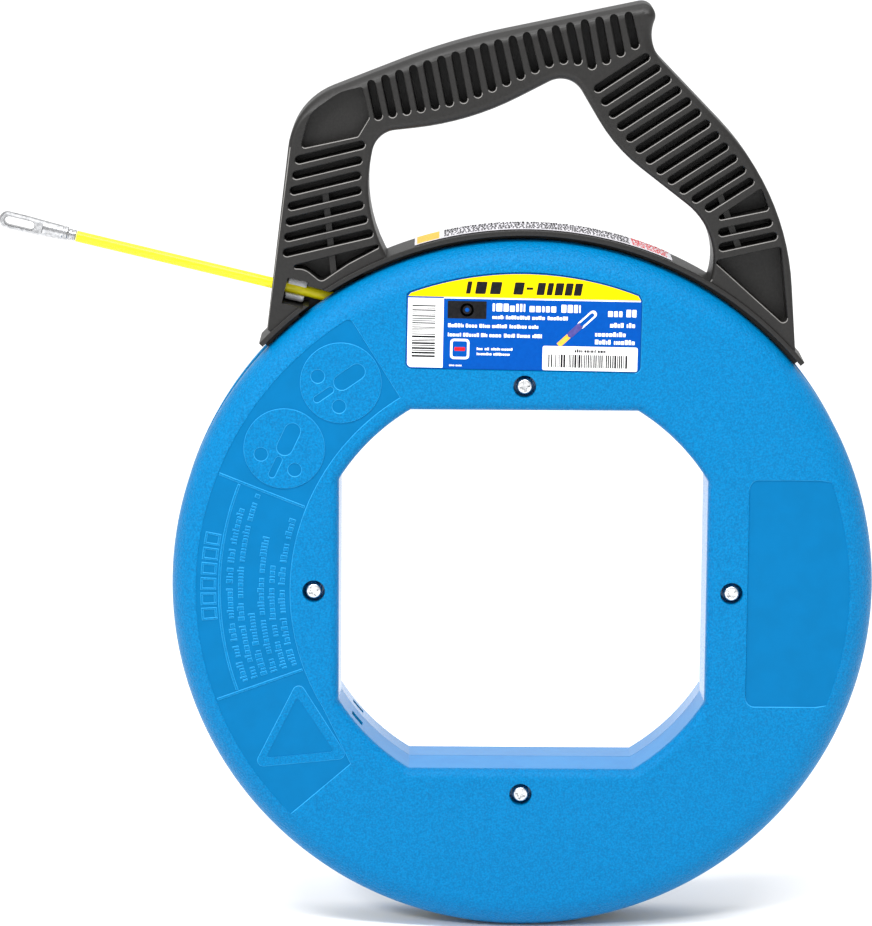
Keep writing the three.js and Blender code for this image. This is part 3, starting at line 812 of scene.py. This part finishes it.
def case_front(looks):
    body = case_shell("case_front_shell", -1)
    cut(body, opening_cutter(), hub_pockets(-1), hub_slot(-1), counterbores())
    cut(body, recess("label_recess", on_label(label_outline(0)), LABEL_RECESS_DEPTH))
    cut(body, recess("right_panel", right_panel_outline(), PANEL_DEPTH))
    cut(body, recess("left_panel", left_panel_outline(), PANEL_DEPTH))
    add(body, left_panel_marks(), triangle_mark())
    cut(body, disc_signs())
    sort_case_faces(body, looks)
    finish_piece(body, "drum", looks[0], ["case_front"])


def case_back(looks):
    body = case_shell("case_back_shell", 1)
    deep = SCREW_LENGTH - 18.4  # a little past the screws' tips
    holes = []
    for x, z in screw_places():
        holes.append(turned_on_line("hole", [(2.3, -1), (2.3, deep)], Vector((x, 0, z)), AWAY, 24))
    cut(body, opening_cutter(), hub_pockets(1), hub_slot(1), joined("holes", holes))
    sort_case_faces(body, looks)
    finish_piece(body, "drum", looks[0], ["case_back"])


# ---- screws ----

def screw(index, place, turn, steel):
    """A pan-head screw whose recess takes a cross, a slot or a square driver."""
    seat = COUNTERBORE_DEPTH - 0.1
    top = seat - SCREW_HEAD_HEIGHT
    corner = 1.1
    profile = [(0.01, top), *quarter((SCREW_HEAD_RADIUS - corner, top + corner), corner, -90, 0, 6)]
    profile += [(SCREW_HEAD_RADIUS, seat), (1.55, seat)]
    root = SCREW_ROOT_RADIUS
    for k in range(int((SCREW_LENGTH - 6) / SCREW_PITCH)):
        start = seat + 4 + k * SCREW_PITCH
        profile += [(root, start), (SCREW_SHANK_RADIUS, start + 0.55), (root, start + 1.1)]
    tip = seat + SCREW_LENGTH
    profile += [(1.2, tip - 1), (0.01, tip)]
    x, z = place
    body = turned_on_line(f"screw_{index}", profile, Vector((x, FACE, z)), AWAY, 48)
    for length, width, depth, extra in ((4.3, 0.95, 1.5, 0), (4.3, 0.95, 1.5, 90), (2.3, 2.3, 1.3, 0)):
        outline = box(x - length / 2, x + length / 2, z - width / 2, z + width / 2)
        levels = [(FACE + top - 1, 0.15), (FACE + top, 0.1), (FACE + top + depth, -0.12)]
        cut(body, plate("driver_recess", spun(outline, turn + extra, place), levels))
    finish_piece(body, "drum", steel, [f"case_screw_{index}"])


# ---- label and stickers ----

def ink_patch(name, outlines, front, material):
    """Printed areas as one very thin layer that stands just proud of its film."""
    levels = [(front - INK, 0), (front + 0.02, 0)]
    made = joined(name, [plate(name, on_label(outline), levels) for outline in outlines])
    finish_piece(made, "drum", material)


def words(left, right, low, high, count, generator):
    """A line of small plain blocks in uneven groups, in place of printed words."""
    shares = [generator.uniform(0.6, 1.6) for _ in range(count)]
    height = high - low
    gap = height * 0.55
    room = right - left - gap * (count - 1)
    outlines = []
    start = left
    for share in shares:
        end = start + room * share / sum(shares)
        x = start
        while x < end - 0.2:
            width = min(height * generator.choice((0.3, 0.5, 0.62, 0.62, 0.74)), end - x)
            top = high - height * generator.choice((0, 0.24, 0.24))
            outlines.append(box(x, x + width, low, top, height * 0.08))
            x += width + height * 0.17
        start = end + gap
    return outlines


def stripes(start, end, low, high, generator, upright=True):
    """Bars of uneven width, as on a stock label."""
    outlines = []
    place = start
    while place < end - 1:
        width = generator.choice((0.28, 0.42, 0.56, 0.84))
        sides = (place, place + width, low, high) if upright else (low, high, place, place + width)
        outlines.append(box(*sides))
        place += width + generator.choice((0.3, 0.42, 0.6))
    return outlines


def slanted(outlines, lean):
    """Outlines leaned to the right about their own foot."""
    leaned = []
    for outline in outlines:
        foot = min(z for x, z in outline)
        leaned.append([(x + (z - foot) * lean, z) for x, z in outline])
    return leaned


def front_label(inks):
    """The film with its yellow header, its white strip and the stand-ins for its print."""
    film = plate("label_film", on_label(label_outline(0.3)), [
        (FACE + LABEL_RECESS_DEPTH - 0.1, -0.05), (LABEL_FRONT + 0.05, 0), (LABEL_FRONT, -0.08),
    ])
    finish_piece(film, "drum", inks["blue"], ["front_label"])
    inset = 0.75
    left, right = LABEL_LEFT + inset, LABEL_RIGHT - inset
    header_low = 128.9
    arch = [point for point in label_outline(inset) if point[1] > header_low + 0.8]
    header = [(right, header_low), *reversed(arch), (left, header_low)]
    ink_patch("label_header", [header], LABEL_FRONT, inks["yellow"])
    strip_right, strip_low, strip_high = -35.1, 98.15, 128.2
    strip = rounded([
        (left, strip_high, 0), (left, strip_low, 1.9),
        (strip_right, strip_low, 0), (strip_right, strip_high, 0),
    ])
    rule = box(strip_right, right, strip_high, 128.7)
    ink_patch("label_white_strip", [strip, rule], LABEL_FRONT, inks["white"])
    label_print(inks)
    drawn_eyelet(inks)


def label_print(inks):
    """Plain blocks and bars where the label carries its title, text, seal and stock bars."""
    generator = random.Random(11)
    spans = [
        (-25.8, -23.9), (-21.9, -17.4), (-15.6, -11.1), (-5.6, -1.5), (4.3, 7.6), (8.6, 11),
        (12, 15.4), (16.3, 19.4), (20.2, 23.4),
    ]
    title = slanted([box(low, high, 130.4, 135.7, 0.4) for low, high in spans], 0.16)
    hyphen = box(0.1, 2.9, 132.6, 133.6, 0.2)
    badge = box(-33.4, -16.8, 119.6, 127.2, 0.3)
    bars = stripes(102.6, 126.2, -48.5, -38.5, generator, upright=False)
    ink_patch("label_black_print", [*title, hyphen, badge, *bars], LABEL_FRONT - 0.02, inks["black"])
    rows = [
        (-14.2, 13, 123, 126.4, 2), (15.2, 23.4, 123, 126.4, 1), (-14.2, 18, 119.7, 121.3, 4),
        (-33.1, 5.5, 115.8, 117.4, 6), (-33.1, 7.1, 111.8, 113.4, 7), (35.2, 47.3, 121.6, 124.8, 2),
        (36.2, 47.3, 117, 119, 2), (29.9, 42.9, 113, 114.9, 1), (29.9, 47.3, 109.6, 111.6, 2),
        (-20.6, -5.3, 106.1, 107.2, 4), (-20.6, -6.5, 103.9, 105, 2), (-32.3, -26.7, 98.9, 99.7, 2),
    ]
    dashes = []
    for row in rows:
        dashes += words(*row, generator)
    seal = box(-32, -23.8, 102, 110.8, 1.6)
    sign_centre = (-25.1, 123.4)
    sign = ring_band(sign_centre, 2.9, 1.9)
    ink_patch("label_white_print", [*dashes, seal, sign], LABEL_FRONT - 0.02, inks["white"])
    insides = [box(-31, -24.8, 103, 109.8, 0.8), disc(sign_centre, 0.9)]
    ink_patch("label_seal", insides, LABEL_FRONT - 0.05, inks["blue"])
    ribbon = box(-30.2, -25.6, 105.6, 107.2, 0.3)
    ink_patch("label_ribbon", [ribbon], LABEL_FRONT - 0.08, inks["red"])


def ring_band(centre, outer, inner, count=40):
    """A ring as one outline, cut by a hairline so that it stays a simple loop."""
    hair = 1.0
    points = [polar(outer, hair + (360 - 2 * hair) * k / count) for k in range(count + 1)]
    points += [polar(inner, 360 - hair - (360 - 2 * hair) * k / count) for k in range(count + 1)]
    return [(centre[0] + x, centre[1] + z) for x, z in points]


def drawn_eyelet(inks):
    """The label's small drawing of a tape end."""
    low, high = Vector((14.3, 108.8)), Vector((29.9, 123.6))
    along = (high - low).normalized()
    parts = [
        ("tape", bar(low, low + along * 6, 2.2), 0.02, "orange"),
        ("body", long_hole(low + along * 7, low + along * 12.5, 2.7), 0.03, "violet"),
        ("eye", long_hole(low + along * 13, high - along * 1.5, 3.2), 0.02, "white"),
        ("hole", long_hole(low + along * 13.6, high - along * 2, 1.7), 0.05, "blue"),
    ]
    for name, outline, proud, ink in parts:
        ink_patch(f"label_drawn_{name}", [outline], LABEL_FRONT - proud, inks[ink])


def stock_sticker(inks):
    generator = random.Random(5)
    outline = on_label(box(7.6, 48.3, 98, 108.5, 0.8))
    levels = [(LABEL_FRONT - 0.09, 0), (STICKER_FRONT + 0.03, 0), (STICKER_FRONT, -0.05)]
    film = plate("stock_sticker_film", outline, levels)
    finish_piece(film, "drum", inks["white"], ["stock_sticker"])
    bars = stripes(10.1, 45.1, 99.3, 104.9, generator)
    line = words(21.3, 34.9, 105.9, 107.3, 3, generator)
    ink_patch("stock_sticker_print", bars + line, STICKER_FRONT, inks["black"])


def saddle_sticker(inks):
    """The printed film that lies along the saddle, under the carrying hand."""
    low = SADDLE_OUTER_RADIUS + 0.3
    print_low, print_high = low + 0.2, low + 0.34
    film = plate("saddle_film", ring_sector(low, low + 0.3, -17.6, 23.6), [(-11, 0), (11, 0)])
    finish_piece(film, "handle_body", inks["grey"], ["saddle_sticker"])
    field = ring_sector(print_low, print_high, -17.2, -13.6)
    patch = plate("saddle_print_orange", field, [(-10.6, 0), (10.6, 0)])
    finish_piece(patch, "handle_body", inks["orange"])
    generator = random.Random(3)
    for kind, first, last in (("black", -12.8, 16.4), ("red", 17, 22.8)):
        dashes = []
        for front in (-9.6, -5.9, -2.2, 1.5, 5.2, 8.1):
            angle = first
            while angle < last:
                wide = generator.uniform(0.18, 0.42)
                outline = ring_sector(print_low, print_high, angle, angle + wide, 0.5)
                back = front + generator.uniform(2.2, 3.2)
                dashes.append(plate("dash", outline, [(front, 0), (back, 0)]))
                angle += wide + generator.choice((0.1, 0.1, 0.34))
        made = joined(f"saddle_print_{kind}", dashes)
        finish_piece(made, "handle_body", inks[kind])


# ---- handle ----

def bow_outline():
    outside = rounded([
        (-110.9, 113.1, 0),
        (-99.7, 210.1, 30.4),
        (-32.4, 236.7, 276),
        (57.1, 255.6, 5.3),
        (50.2, 236.6, 16.5),
        (111.8, 173.4, 111),
        (116.5, 104.2, 0),
    ], closed=False)
    return outside + arc(SADDLE_INNER_RADIUS + 0.6, 48.2, -44.2)


def hand_opening_outline():
    edge = rounded([
        (-58, 142, 0),
        (-70.5, 166.4, 63.8),
        (-64.3, 198.3, 10.9),
        (-24.4, 202.8, 126),
        (18.2, 224.9, 10.5),
        (37.7, 192.3, 73),
        (86.4, 154.7, 30.2),
        (78, 132.2, 0),
    ], closed=False)
    return edge + arc(SADDLE_OUTER_RADIUS - 1.3, 29.4, -20.8)


def smoothstep(value, low, high):
    t = min(1, max(0, (value - low) / (high - low)))
    return t * t * (3 - 2 * t)


def rounded_sides(name, outline, radii, inwards):
    """A body whose two face edges are rounded, by a radius for each point. A cutter flares instead."""
    outline = cleaned(outline)
    radii = [radii(x, z) for x, z in outline]
    sign = -1 if inwards else 1
    steps = 6
    front = []
    for k in range(steps + 1):
        angle = math.radians(90 * k / steps)
        moved = grown(outline, [sign * r * (1 - math.sin(angle)) for r in radii])
        depths = [GRIP_HALF_DEPTH - r * (1 - math.cos(angle)) for r in radii]
        front.append([(x, -depth, z) for (x, z), depth in zip(moved, depths)])
    back = [[(x, -y, z) for x, y, z in ring] for ring in reversed(front)]
    rings = front + back
    if not inwards:
        outside = [(x, GRIP_HALF_DEPTH + 2, z) for x, y, z in front[0]]
        rings = [[(x, -y, z) for x, y, z in outside], *rings, outside]
    return loft(name, rings)


def bow_rounding(x, z):
    """The grip's back is well rounded for the hand, and the legs less so."""
    if z < 160 and math.hypot(x, z) < SADDLE_INNER_RADIUS + 2:
        return 0.05
    crown = smoothstep(x, -103, -86) * (1 - smoothstep(x, 50, 58)) * smoothstep(z, 196, 212)
    foot = smoothstep(z, 108, 128)
    return (2.2 + 3.4 * crown) * (0.15 + 0.85 * foot)


def opening_rounding(x, z):
    if z < 160 and math.hypot(x, z) < SADDLE_OUTER_RADIUS:
        return 0.05
    return 2.0 + 1.6 * smoothstep(z, 192, 204) * (1 - smoothstep(x, 18, 30))


def curve(points, t):
    """A place on a quadratic curve given by its start, bend and end."""
    a, b, c = (Vector(p) for p in points)
    return a.lerp(b, t).lerp(b.lerp(c, t), t)


def grip_slot_foot(x):
    """Height of a grip slot's lower end: it follows the hand opening's upper edge."""
    knees = [
        (-63.4, 205.5), (-38.8, 210.1), (-26.4, 213.1), (-8.9, 220.4), (8.7, 228.3),
        (15, 229.9), (21.6, 229.5), (28.5, 227.3), (45.5, 236.4),
    ]
    for (x1, z1), (x2, z2) in zip(knees, knees[1:]):
        if x <= x2:
            return z1 + (z2 - z1) * (x - x1) / (x2 - x1)
    return knees[-1][1]


def slot_outlines():
    """The slots of the grip's top, of both legs and of the right leg's foot."""
    slots = []
    left, right = -63.4, 45.5
    for k in range(19):
        top = curve([(-66.4, 219.1), (-13.3, 239.5), (42.6, 248.7)], k / 18)
        foot = left + (right - left) * k / 18
        slots.append(long_hole(top, (foot, grip_slot_foot(foot)), SLOT_WIDTH))
    legs = [
        (7, [(-97.1, 186.6), (-100.7, 166.6), (-102.3, 146.6)], [(-70.7, 193.1), (-75.5, 173), (-67.1, 155)]),
        (12, [(30.1, 217.9), (46.6, 187), (78.2, 167.2)], [(50.1, 231.1), (75.6, 206), (95.4, 178.3)]),
    ]
    for count, starts, ends in legs:
        for k in range(count):
            t = k / (count - 1)
            slots.append(long_hole(curve(starts, t), curve(ends, t), SLOT_WIDTH))
    slots.append(long_hole((84.1, 156.5), (103.6, 160.8), SLOT_WIDTH))
    slots.append(long_hole((84.4, 150.1), (105.9, 154.9), SLOT_WIDTH))
    return slots


def deep_pockets():
    left = [(-104.2, 139.8, 0.8), (-57.6, 151.8, 0.8), (-76, 141.9, 0), (-87.6, 134, 2.5), (-94.6, 139.6, 8)]
    right_upper = [(78.8, 160.9, 1), (100.5, 175.6, 1), (104.2, 166.2, 1.5)]
    right_lower = [(80.6, 144, 1), (109.4, 150.5, 1.2), (113.2, 115, 1.8)]
    return [rounded(corners) for corners in (left, right_upper, right_lower)]


def shoulder_pocket():
    return rounded([
        (-96.6, 191.2, 1.5), (-92.6, 206.6, 16), (-80, 215.6, 20),
        (-70.2, 218, 1.2), (-67.2, 204.6, 1.5), (-72, 196.6, 1.5),
    ])


def sunk(outline, side, floor):
    """A cutter for a blind slot or pocket with a fine chamfer at the face."""
    outside = GRIP_HALF_DEPTH + 1.5
    levels = [
        (side * outside, RIM_CHAMFER),
        (side * GRIP_HALF_DEPTH, RIM_CHAMFER),
        (side * (GRIP_HALF_DEPTH - RIM_CHAMFER), 0),
        (side * floor, -0.12),
    ]
    return plate("sunk", outline, levels)


def on_tape(distance):
    """A place (x, z) on the tape's line, by its distance outwards from the guide's middle."""
    point = GUIDE + OUTWARDS * distance
    return point.x, point.z


def tape_line_box(name, start, end, half_height, front, back):
    """A block along the tape's line, in the face plane."""
    outline = bar(on_tape(start), on_tape(end), 2 * half_height)
    return plate(name, outline, [(front, 0), (back, 0)])


def sector_strip(name, inner, outer, half_width, start, end, edge):
    """A curved strip with softened edges between two angles."""
    soft = edge * 0.3
    front = [
        (inner, edge), (inner + soft, soft), (inner + edge, 0),
        (outer - edge, 0), (outer - soft, soft), (outer, edge),
    ]
    profile = [(r, y - half_width) for r, y in front] + [(r, half_width - y) for r, y in reversed(front)]
    count = round((end - start) / 1.5)
    rings = []
    for k in range(count + 1):
        angle = start + (end - start) * k / count
        rings.append([(polar(r, angle)[0], y, polar(r, angle)[1]) for r, y in profile])
    return loft(name, rings)


def paint_rim_highlights(made, black, edge):
    """Painted highlights: the chamfers on the lower sides of the slots and pockets that face the light get a
    lighter, glossier look.
    """
    made.data.materials.append(black)
    made.data.materials.append(edge)
    margin = 0.02
    for polygon in made.data.polygons:
        depth = GRIP_HALF_DEPTH - abs(polygon.center.y)
        sloping = 0.6 < abs(polygon.normal.y) < 0.8
        # facing up and to the left, towards the key light: these chamfers get the painted highlight
        upwards = polygon.normal.z - 0.4 * polygon.normal.x
        if margin < depth < RIM_CHAMFER - margin and sloping and upwards > 0.25:
            polygon.material_index = 1


def web_sector(start, end):
    """Between the rail and the saddle, with a small lap into both."""
    return ring_sector(RAIL_OUTER_RADIUS - WEB_LAP, SADDLE_INNER_RADIUS + WEB_LAP, start, end)


def add_saddle(body):
    """The saddle with the web and rail under it. Only a wall of the web passes behind the tape."""
    strip = (SADDLE_INNER_RADIUS, SADDLE_OUTER_RADIUS, SADDLE_HALF_WIDTH, SADDLE_FROM, SADDLE_TO)
    add(body, sector_strip("saddle", *strip, 0.5))
    wall = web_sector(TAPE_GAP_FROM - 0.5, TAPE_GAP_TO + 0.5)
    add(body, plate("wall", wall, [(WEB_HALF - WEB_WALL, 0), (WEB_HALF, 0)]))
    for start, end in ((SADDLE_FROM + 0.1, TAPE_GAP_FROM), (TAPE_GAP_TO, SADDLE_TO - 0.2)):
        add(body, plate("web", web_sector(start, end), [(-WEB_HALF, 0), (WEB_HALF, 0)]))
        rail = (RAIL_INNER_RADIUS, RAIL_OUTER_RADIUS, RAIL_HALF_WIDTH, start, end)
        add(body, sector_strip("rail", *rail, 0.6))


def cut_tape_path(body):
    """The guide's window, the passage behind it and the mouth that the eyelet draws into."""
    front = -SADDLE_HALF_WIDTH - 1
    seat = GUIDE_LENGTH / 2 + 0.4
    cut(body, tape_line_box("window", -seat, seat, GUIDE_RADIUS + 0.4, front, WINDOW_BACK))
    cut(body, tape_line_box("passage", PASSAGE_START, -seat + 0.5, PASSAGE_HALF, front, PASSAGE_BACK))
    mouth = [(2.9, 0), (2.9, 13.5), (3.4, 19), (3.4, 32)]
    cut(body, turned_on_line("mouth", mouth, GUIDE, OUTWARDS, 40))


# edge is the lighter look that paints highlights on the chamfers facing the light
def handle(black, edge):
    body = rounded_sides("handle_moulding", bow_outline(), bow_rounding, True)
    cut(body, rounded_sides("hand_opening", hand_opening_outline(), opening_rounding, False))
    sinks = []
    for side in (-1, 1):
        for outline in slot_outlines() + deep_pockets():
            sinks.append(sunk(outline, side, MIDDLE_WEB_HALF))
        sinks.append(sunk(shoulder_pocket(), side, GRIP_HALF_DEPTH - SHOULDER_POCKET_DEPTH))
    cut(body, joined("sinks", sinks))
    rib_face = GRIP_HALF_DEPTH - RIB_RECESS
    left_rib, right_rib = ((-85.9, 172), (-82.2, 136.5)), ((82.4, 173.6), (91.6, 149))
    for start, end in (left_rib, right_rib):
        add(body, plate("rib", bar(start, end, RIB_WIDTH), [(-rib_face, 0), (rib_face, 0)]))
    add_saddle(body)
    cut_tape_path(body)
    paint_rim_highlights(body, black, edge)
    finish_piece(body, "handle_body", black, ["handle"])


def tape_guide(guide_painted_white):
    """A thick bush split along its front, so that the tape shows through it."""
    half = GUIDE_LENGTH / 2
    edge = 0.5
    bore, outer = GUIDE_BORE_RADIUS, GUIDE_RADIUS
    profile = [
        (bore, edge - half), (bore + edge, -half), (outer - edge, -half), (outer, edge - half),
        (outer, half - edge), (outer - edge, half), (bore + edge, half), (bore, half - edge),
        (bore, edge - half),
    ]
    bush = turned_on_line("tape_guide_bush", profile, GUIDE, OUTWARDS)
    cut(bush, tape_line_box("split", -half - 1, half + 1, GUIDE_MOUTH_HALF, -outer - 1, 0))
    # its look is near white, a painted reflection on the metal bush
    finish_piece(bush, "handle_body", guide_painted_white, ["tape_guide"])


# ---- tape ----

def winding_stations():
    """(degrees wound, radius, y) along the tape from its inner end to where it leaves the coil."""
    rows = [COIL_FIRST_ROW + k * TAPE_PITCH for k in range(3)]
    inner = HUB_RADIUS + 0.2 + TAPE_RADIUS
    turns = []  # (first station, last station, radius, y), the stations in degrees of the turn
    for side in (1, -1):
        for layer in range(COIL_LAYERS):
            order = rows[::-1] if layer % 2 == 0 else rows
            if side == -1 and layer == COIL_LAYERS - 1:
                order = rows[:2]
            turns += [(24, 360, inner + layer * TAPE_PITCH, side * y) for y in order]
        if side == 1:
            turns.append((110, 330, HUB_RADIUS + 1.6, 0))
    turns.append((140, 330, 103.0, 0))
    stations = []
    for k, (first, last, radius, y) in enumerate(turns):
        stations += [(360 * k + first, radius, y), (360 * k + last, radius, y)]
    return stations


def wound_tape(yellow):
    """The tape in the drum: one line, laid turn beside turn in two stacks with a gap between."""
    stations = winding_stations()
    last = stations[-1][0]
    sides = [math.tau * k / 10 for k in range(10)]
    rings = []
    index = 0
    for wound in range(stations[0][0], last + 1, 5):
        while index < len(stations) - 2 and wound > stations[index + 1][0]:
            index += 1
        (a, r1, y1), (b, r2, y2) = stations[index], stations[index + 1]
        share = smoothstep(wound, a, b)
        radius = r1 + (r2 - r1) * share
        y = y1 + (y2 - y1) * share
        ring = []
        for turn in sides:
            x, z = polar(radius + TAPE_RADIUS * math.cos(turn), COIL_LEAVES_AT + last - wound)
            ring.append((x, y + TAPE_RADIUS * math.sin(turn), z))
        rings.append(ring)
    made = loft("wound_tape", rings)
    finish_piece(made, "drum", yellow, ["tape_coil"], sharp=60)


def tape_lead(yellow):
    """The stretch from the coil to the ferrule."""
    count = 112
    path = [GUIDE + OUTWARDS * (LEAD_START + (LEAD_END - LEAD_START) * k / count) for k in range(count + 1)]
    profile = [(TAPE_RADIUS, (point - GUIDE).dot(OUTWARDS)) for point in path]
    made = turned_on_line("free_tape", profile, GUIDE, OUTWARDS, 24)
    shade(made, yellow, 60)
    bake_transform(made)
    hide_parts("tape_lead")


def ferrule(silver):
    start = LEAD_END + TOUCH_GAP
    end = start + FERRULE_LENGTH
    profile = [
        (0.05, start), (2.2, start), (2.5, start + 0.3), (2.5, start + 1.0), (2.1, start + 1.2),
        (2.1, start + 1.7), (2.55, start + 1.9), (2.55, end - 0.3), (2.3, end), (0.05, end),
    ]
    made = turned_on_line("end_ferrule", profile, GUIDE, OUTWARDS, 48)
    finish_piece(made, "tape", silver, ["tape_ferrule"])


def eyelet(silver):
    """A round-nosed bar, flattened towards its nose and pierced by a long eye."""
    start = LEAD_END + FERRULE_LENGTH + 2 * TOUCH_GAP
    end = start + EYELET_LENGTH
    tail, head = 3.05, 3.65
    profile = [
        (0.05, start), (tail - 0.35, start), (tail, start + 0.35), (tail, start + 1.5),
        (tail - 0.2, start + 1.8), (tail - 0.2, start + 2.2), (tail + 0.02, start + 2.5),
        (tail + 0.2, start + 8), (head, end - 11), *quarter((0, end - head), head, 0, 90, 12)[:-1],
        (0.05, end),
    ]
    body = turned_on_line("end_eyelet", profile, GUIDE, OUTWARDS)
    outline = bar(on_tape(end - 19.6), on_tape(end + 2), 12)
    for side in (-1, 1):
        cut(body, plate("flat", outline, [(side * 2.5, -0.6), (side * 2.9, -0.35), (side * 8, 2.4)]))
    last = end - 2.6 - EYE_WIDTH / 2
    outline = long_hole(on_tape(last - EYE_LENGTH), on_tape(last), EYE_WIDTH, 12)
    flare = [(1.8, 0), (2.3, 0.15), (2.7, 0.5), (6, 0.7)]
    cut(body, plate("eye", outline, [(-y, growth) for y, growth in reversed(flare)] + flare))
    finish_piece(body, "tape", silver, ["tape_eyelet"])


# ---- studio ----

FLOOR_SIZE = 60.0
WORLD_STRENGTH = 0.8
CEILING_STRENGTH = 1.3
KEY_POWER = 20
STRIP_POWER = 20


def make_floor(material):
    low = cad_low.z
    half = FLOOR_SIZE / 2
    corners = [(-half, -half, low), (half, -half, low), (half, half, low), (-half, half, low)]
    floor = mesh_object("floor", corners, [(0, 1, 2, 3)])
    floor.data.materials.append(material)


def area_light(name, place, target, size, power):
    data = bpy.data.lights.new(name, "AREA")
    data.shape = "RECTANGLE"
    data.size, data.size_y = size
    data.energy = power
    light = linked(name, data)
    light.location = place
    light.rotation_euler = (Vector(target) - Vector(place)).to_track_quat("-Z", "Y").to_euler()


def make_light():
    """An even white studio: a bright surround, a wide ceiling, a key from the upper left and a strip."""
    world = bpy.data.worlds.new("studio")
    world.use_nodes = True
    background = world.node_tree.nodes["Background"]
    background.inputs["Color"].default_value = (1, 1, 1, 1)
    background.inputs["Strength"].default_value = WORLD_STRENGTH
    bpy.context.scene.world = world
    bpy.context.scene.view_settings.view_transform = "Standard"
    ceiling = bpy.data.lights.new("ceiling", "SUN")
    ceiling.energy = CEILING_STRENGTH
    ceiling.angle = math.radians(70)
    linked("ceiling", ceiling)
    middle = DRUM_CENTRE + Vector((0, 0, 0.1))
    area_light("key", (-1.15, -1.6, 1.05), middle, (0.34, 0.34), KEY_POWER)
    area_light("strip", (-0.1, -0.75, 1.15), middle, (1.5, 0.12), STRIP_POWER)


# ---- the scene ----

make_camera()
silver = metal("eyelet_silver", (158, 159, 161), (198, 199, 201), 0.24, 0.4, 0.006)
# the guide is metal; its near-white, non-metallic colour is a painted reflection of the front light
guide_painted_white = printed("guide_metal_painted_sheen", (246, 246, 248), (255, 255, 255), 0.25)
steel = metal("screw_zinc", (196, 198, 200), (226, 227, 228), 0.28, 0.35, 0.01)
yellow = look("tape_yellow_wound", (240, 222, 4), (252, 240, 30), 0.34, 0.4, spots=6.0, grains=[(0.9, 0.02)])
ferrule(silver)
eyelet(silver)
tape_lead(tape_yellow())
wound_tape(yellow)

INK_COLOURS = {
    "blue": ((0, 70, 154), (0, 74, 160), 0.34),
    "yellow": ((234, 200, 0), (238, 206, 0), 0.34),
    "white": ((240, 240, 240), (246, 246, 245), 0.4),
    "black": ((22, 22, 24), (30, 30, 32), 0.4),
    "red": ((196, 30, 40), (206, 38, 48), 0.4),
    "orange": ((240, 170, 60), (247, 182, 72), 0.4),
    "violet": ((70, 66, 130), (80, 76, 140), 0.4),
    "grey": ((204, 202, 208), (216, 214, 219), 0.42),
}
inks = {name: printed(f"ink_{name}", *colours) for name, colours in INK_COLOURS.items()}
case_looks = [
    plastic("case_blue", (0, 101, 154), (0, 120, 178), 0.3, 0.09, [(1.1, 0.5), (0.5, 0.2)], 0.8),
    plastic("case_blue_smooth", (0, 100, 152), (0, 103, 157), 0.34, 0.06, [(2.5, 0.012)]),
    # a paler, whiter copy of the blue with more gloss: painted sheen of the wall's grazing reflection
    plastic("case_blue_wall_painted_sheen", (24, 122, 184), (30, 127, 188), 0.2, 0.5, [(3.0, 0.01)]),
    # a lighter copy of the blue: painted highlights on the sides of the marks and recesses
    plastic("case_blue_painted_highlight", (36, 140, 196), (46, 150, 204), 0.3, 0.2, [(2.5, 0.01)]),
]
case_front(case_looks)
case_back(case_looks)
for index, (place, turn) in enumerate(zip(screw_places(), (12, 38, 71, 28)), start=1):
    screw(index, place, turn, steel)
front_label(inks)
stock_sticker(inks)

black = plastic("handle_black", (22, 21, 20), (28, 27, 26), 0.42, 0.35, [(0.5, 0.05), (2.8, 0.02)], 1.2)
# the second look is a lighter, glossier copy of the black: painted highlights for the chamfers facing the
# light
handle(black, plastic("handle_painted_highlight", (112, 110, 108), (128, 126, 124), 0.3, 0.4, [(0.5, 0.02)]))
tape_guide(guide_painted_white)
saddle_sticker(inks)

make_floor(look("floor_white", (245, 245, 245), (246, 246, 246), 0.8, 0.0, spots=900))
make_light()
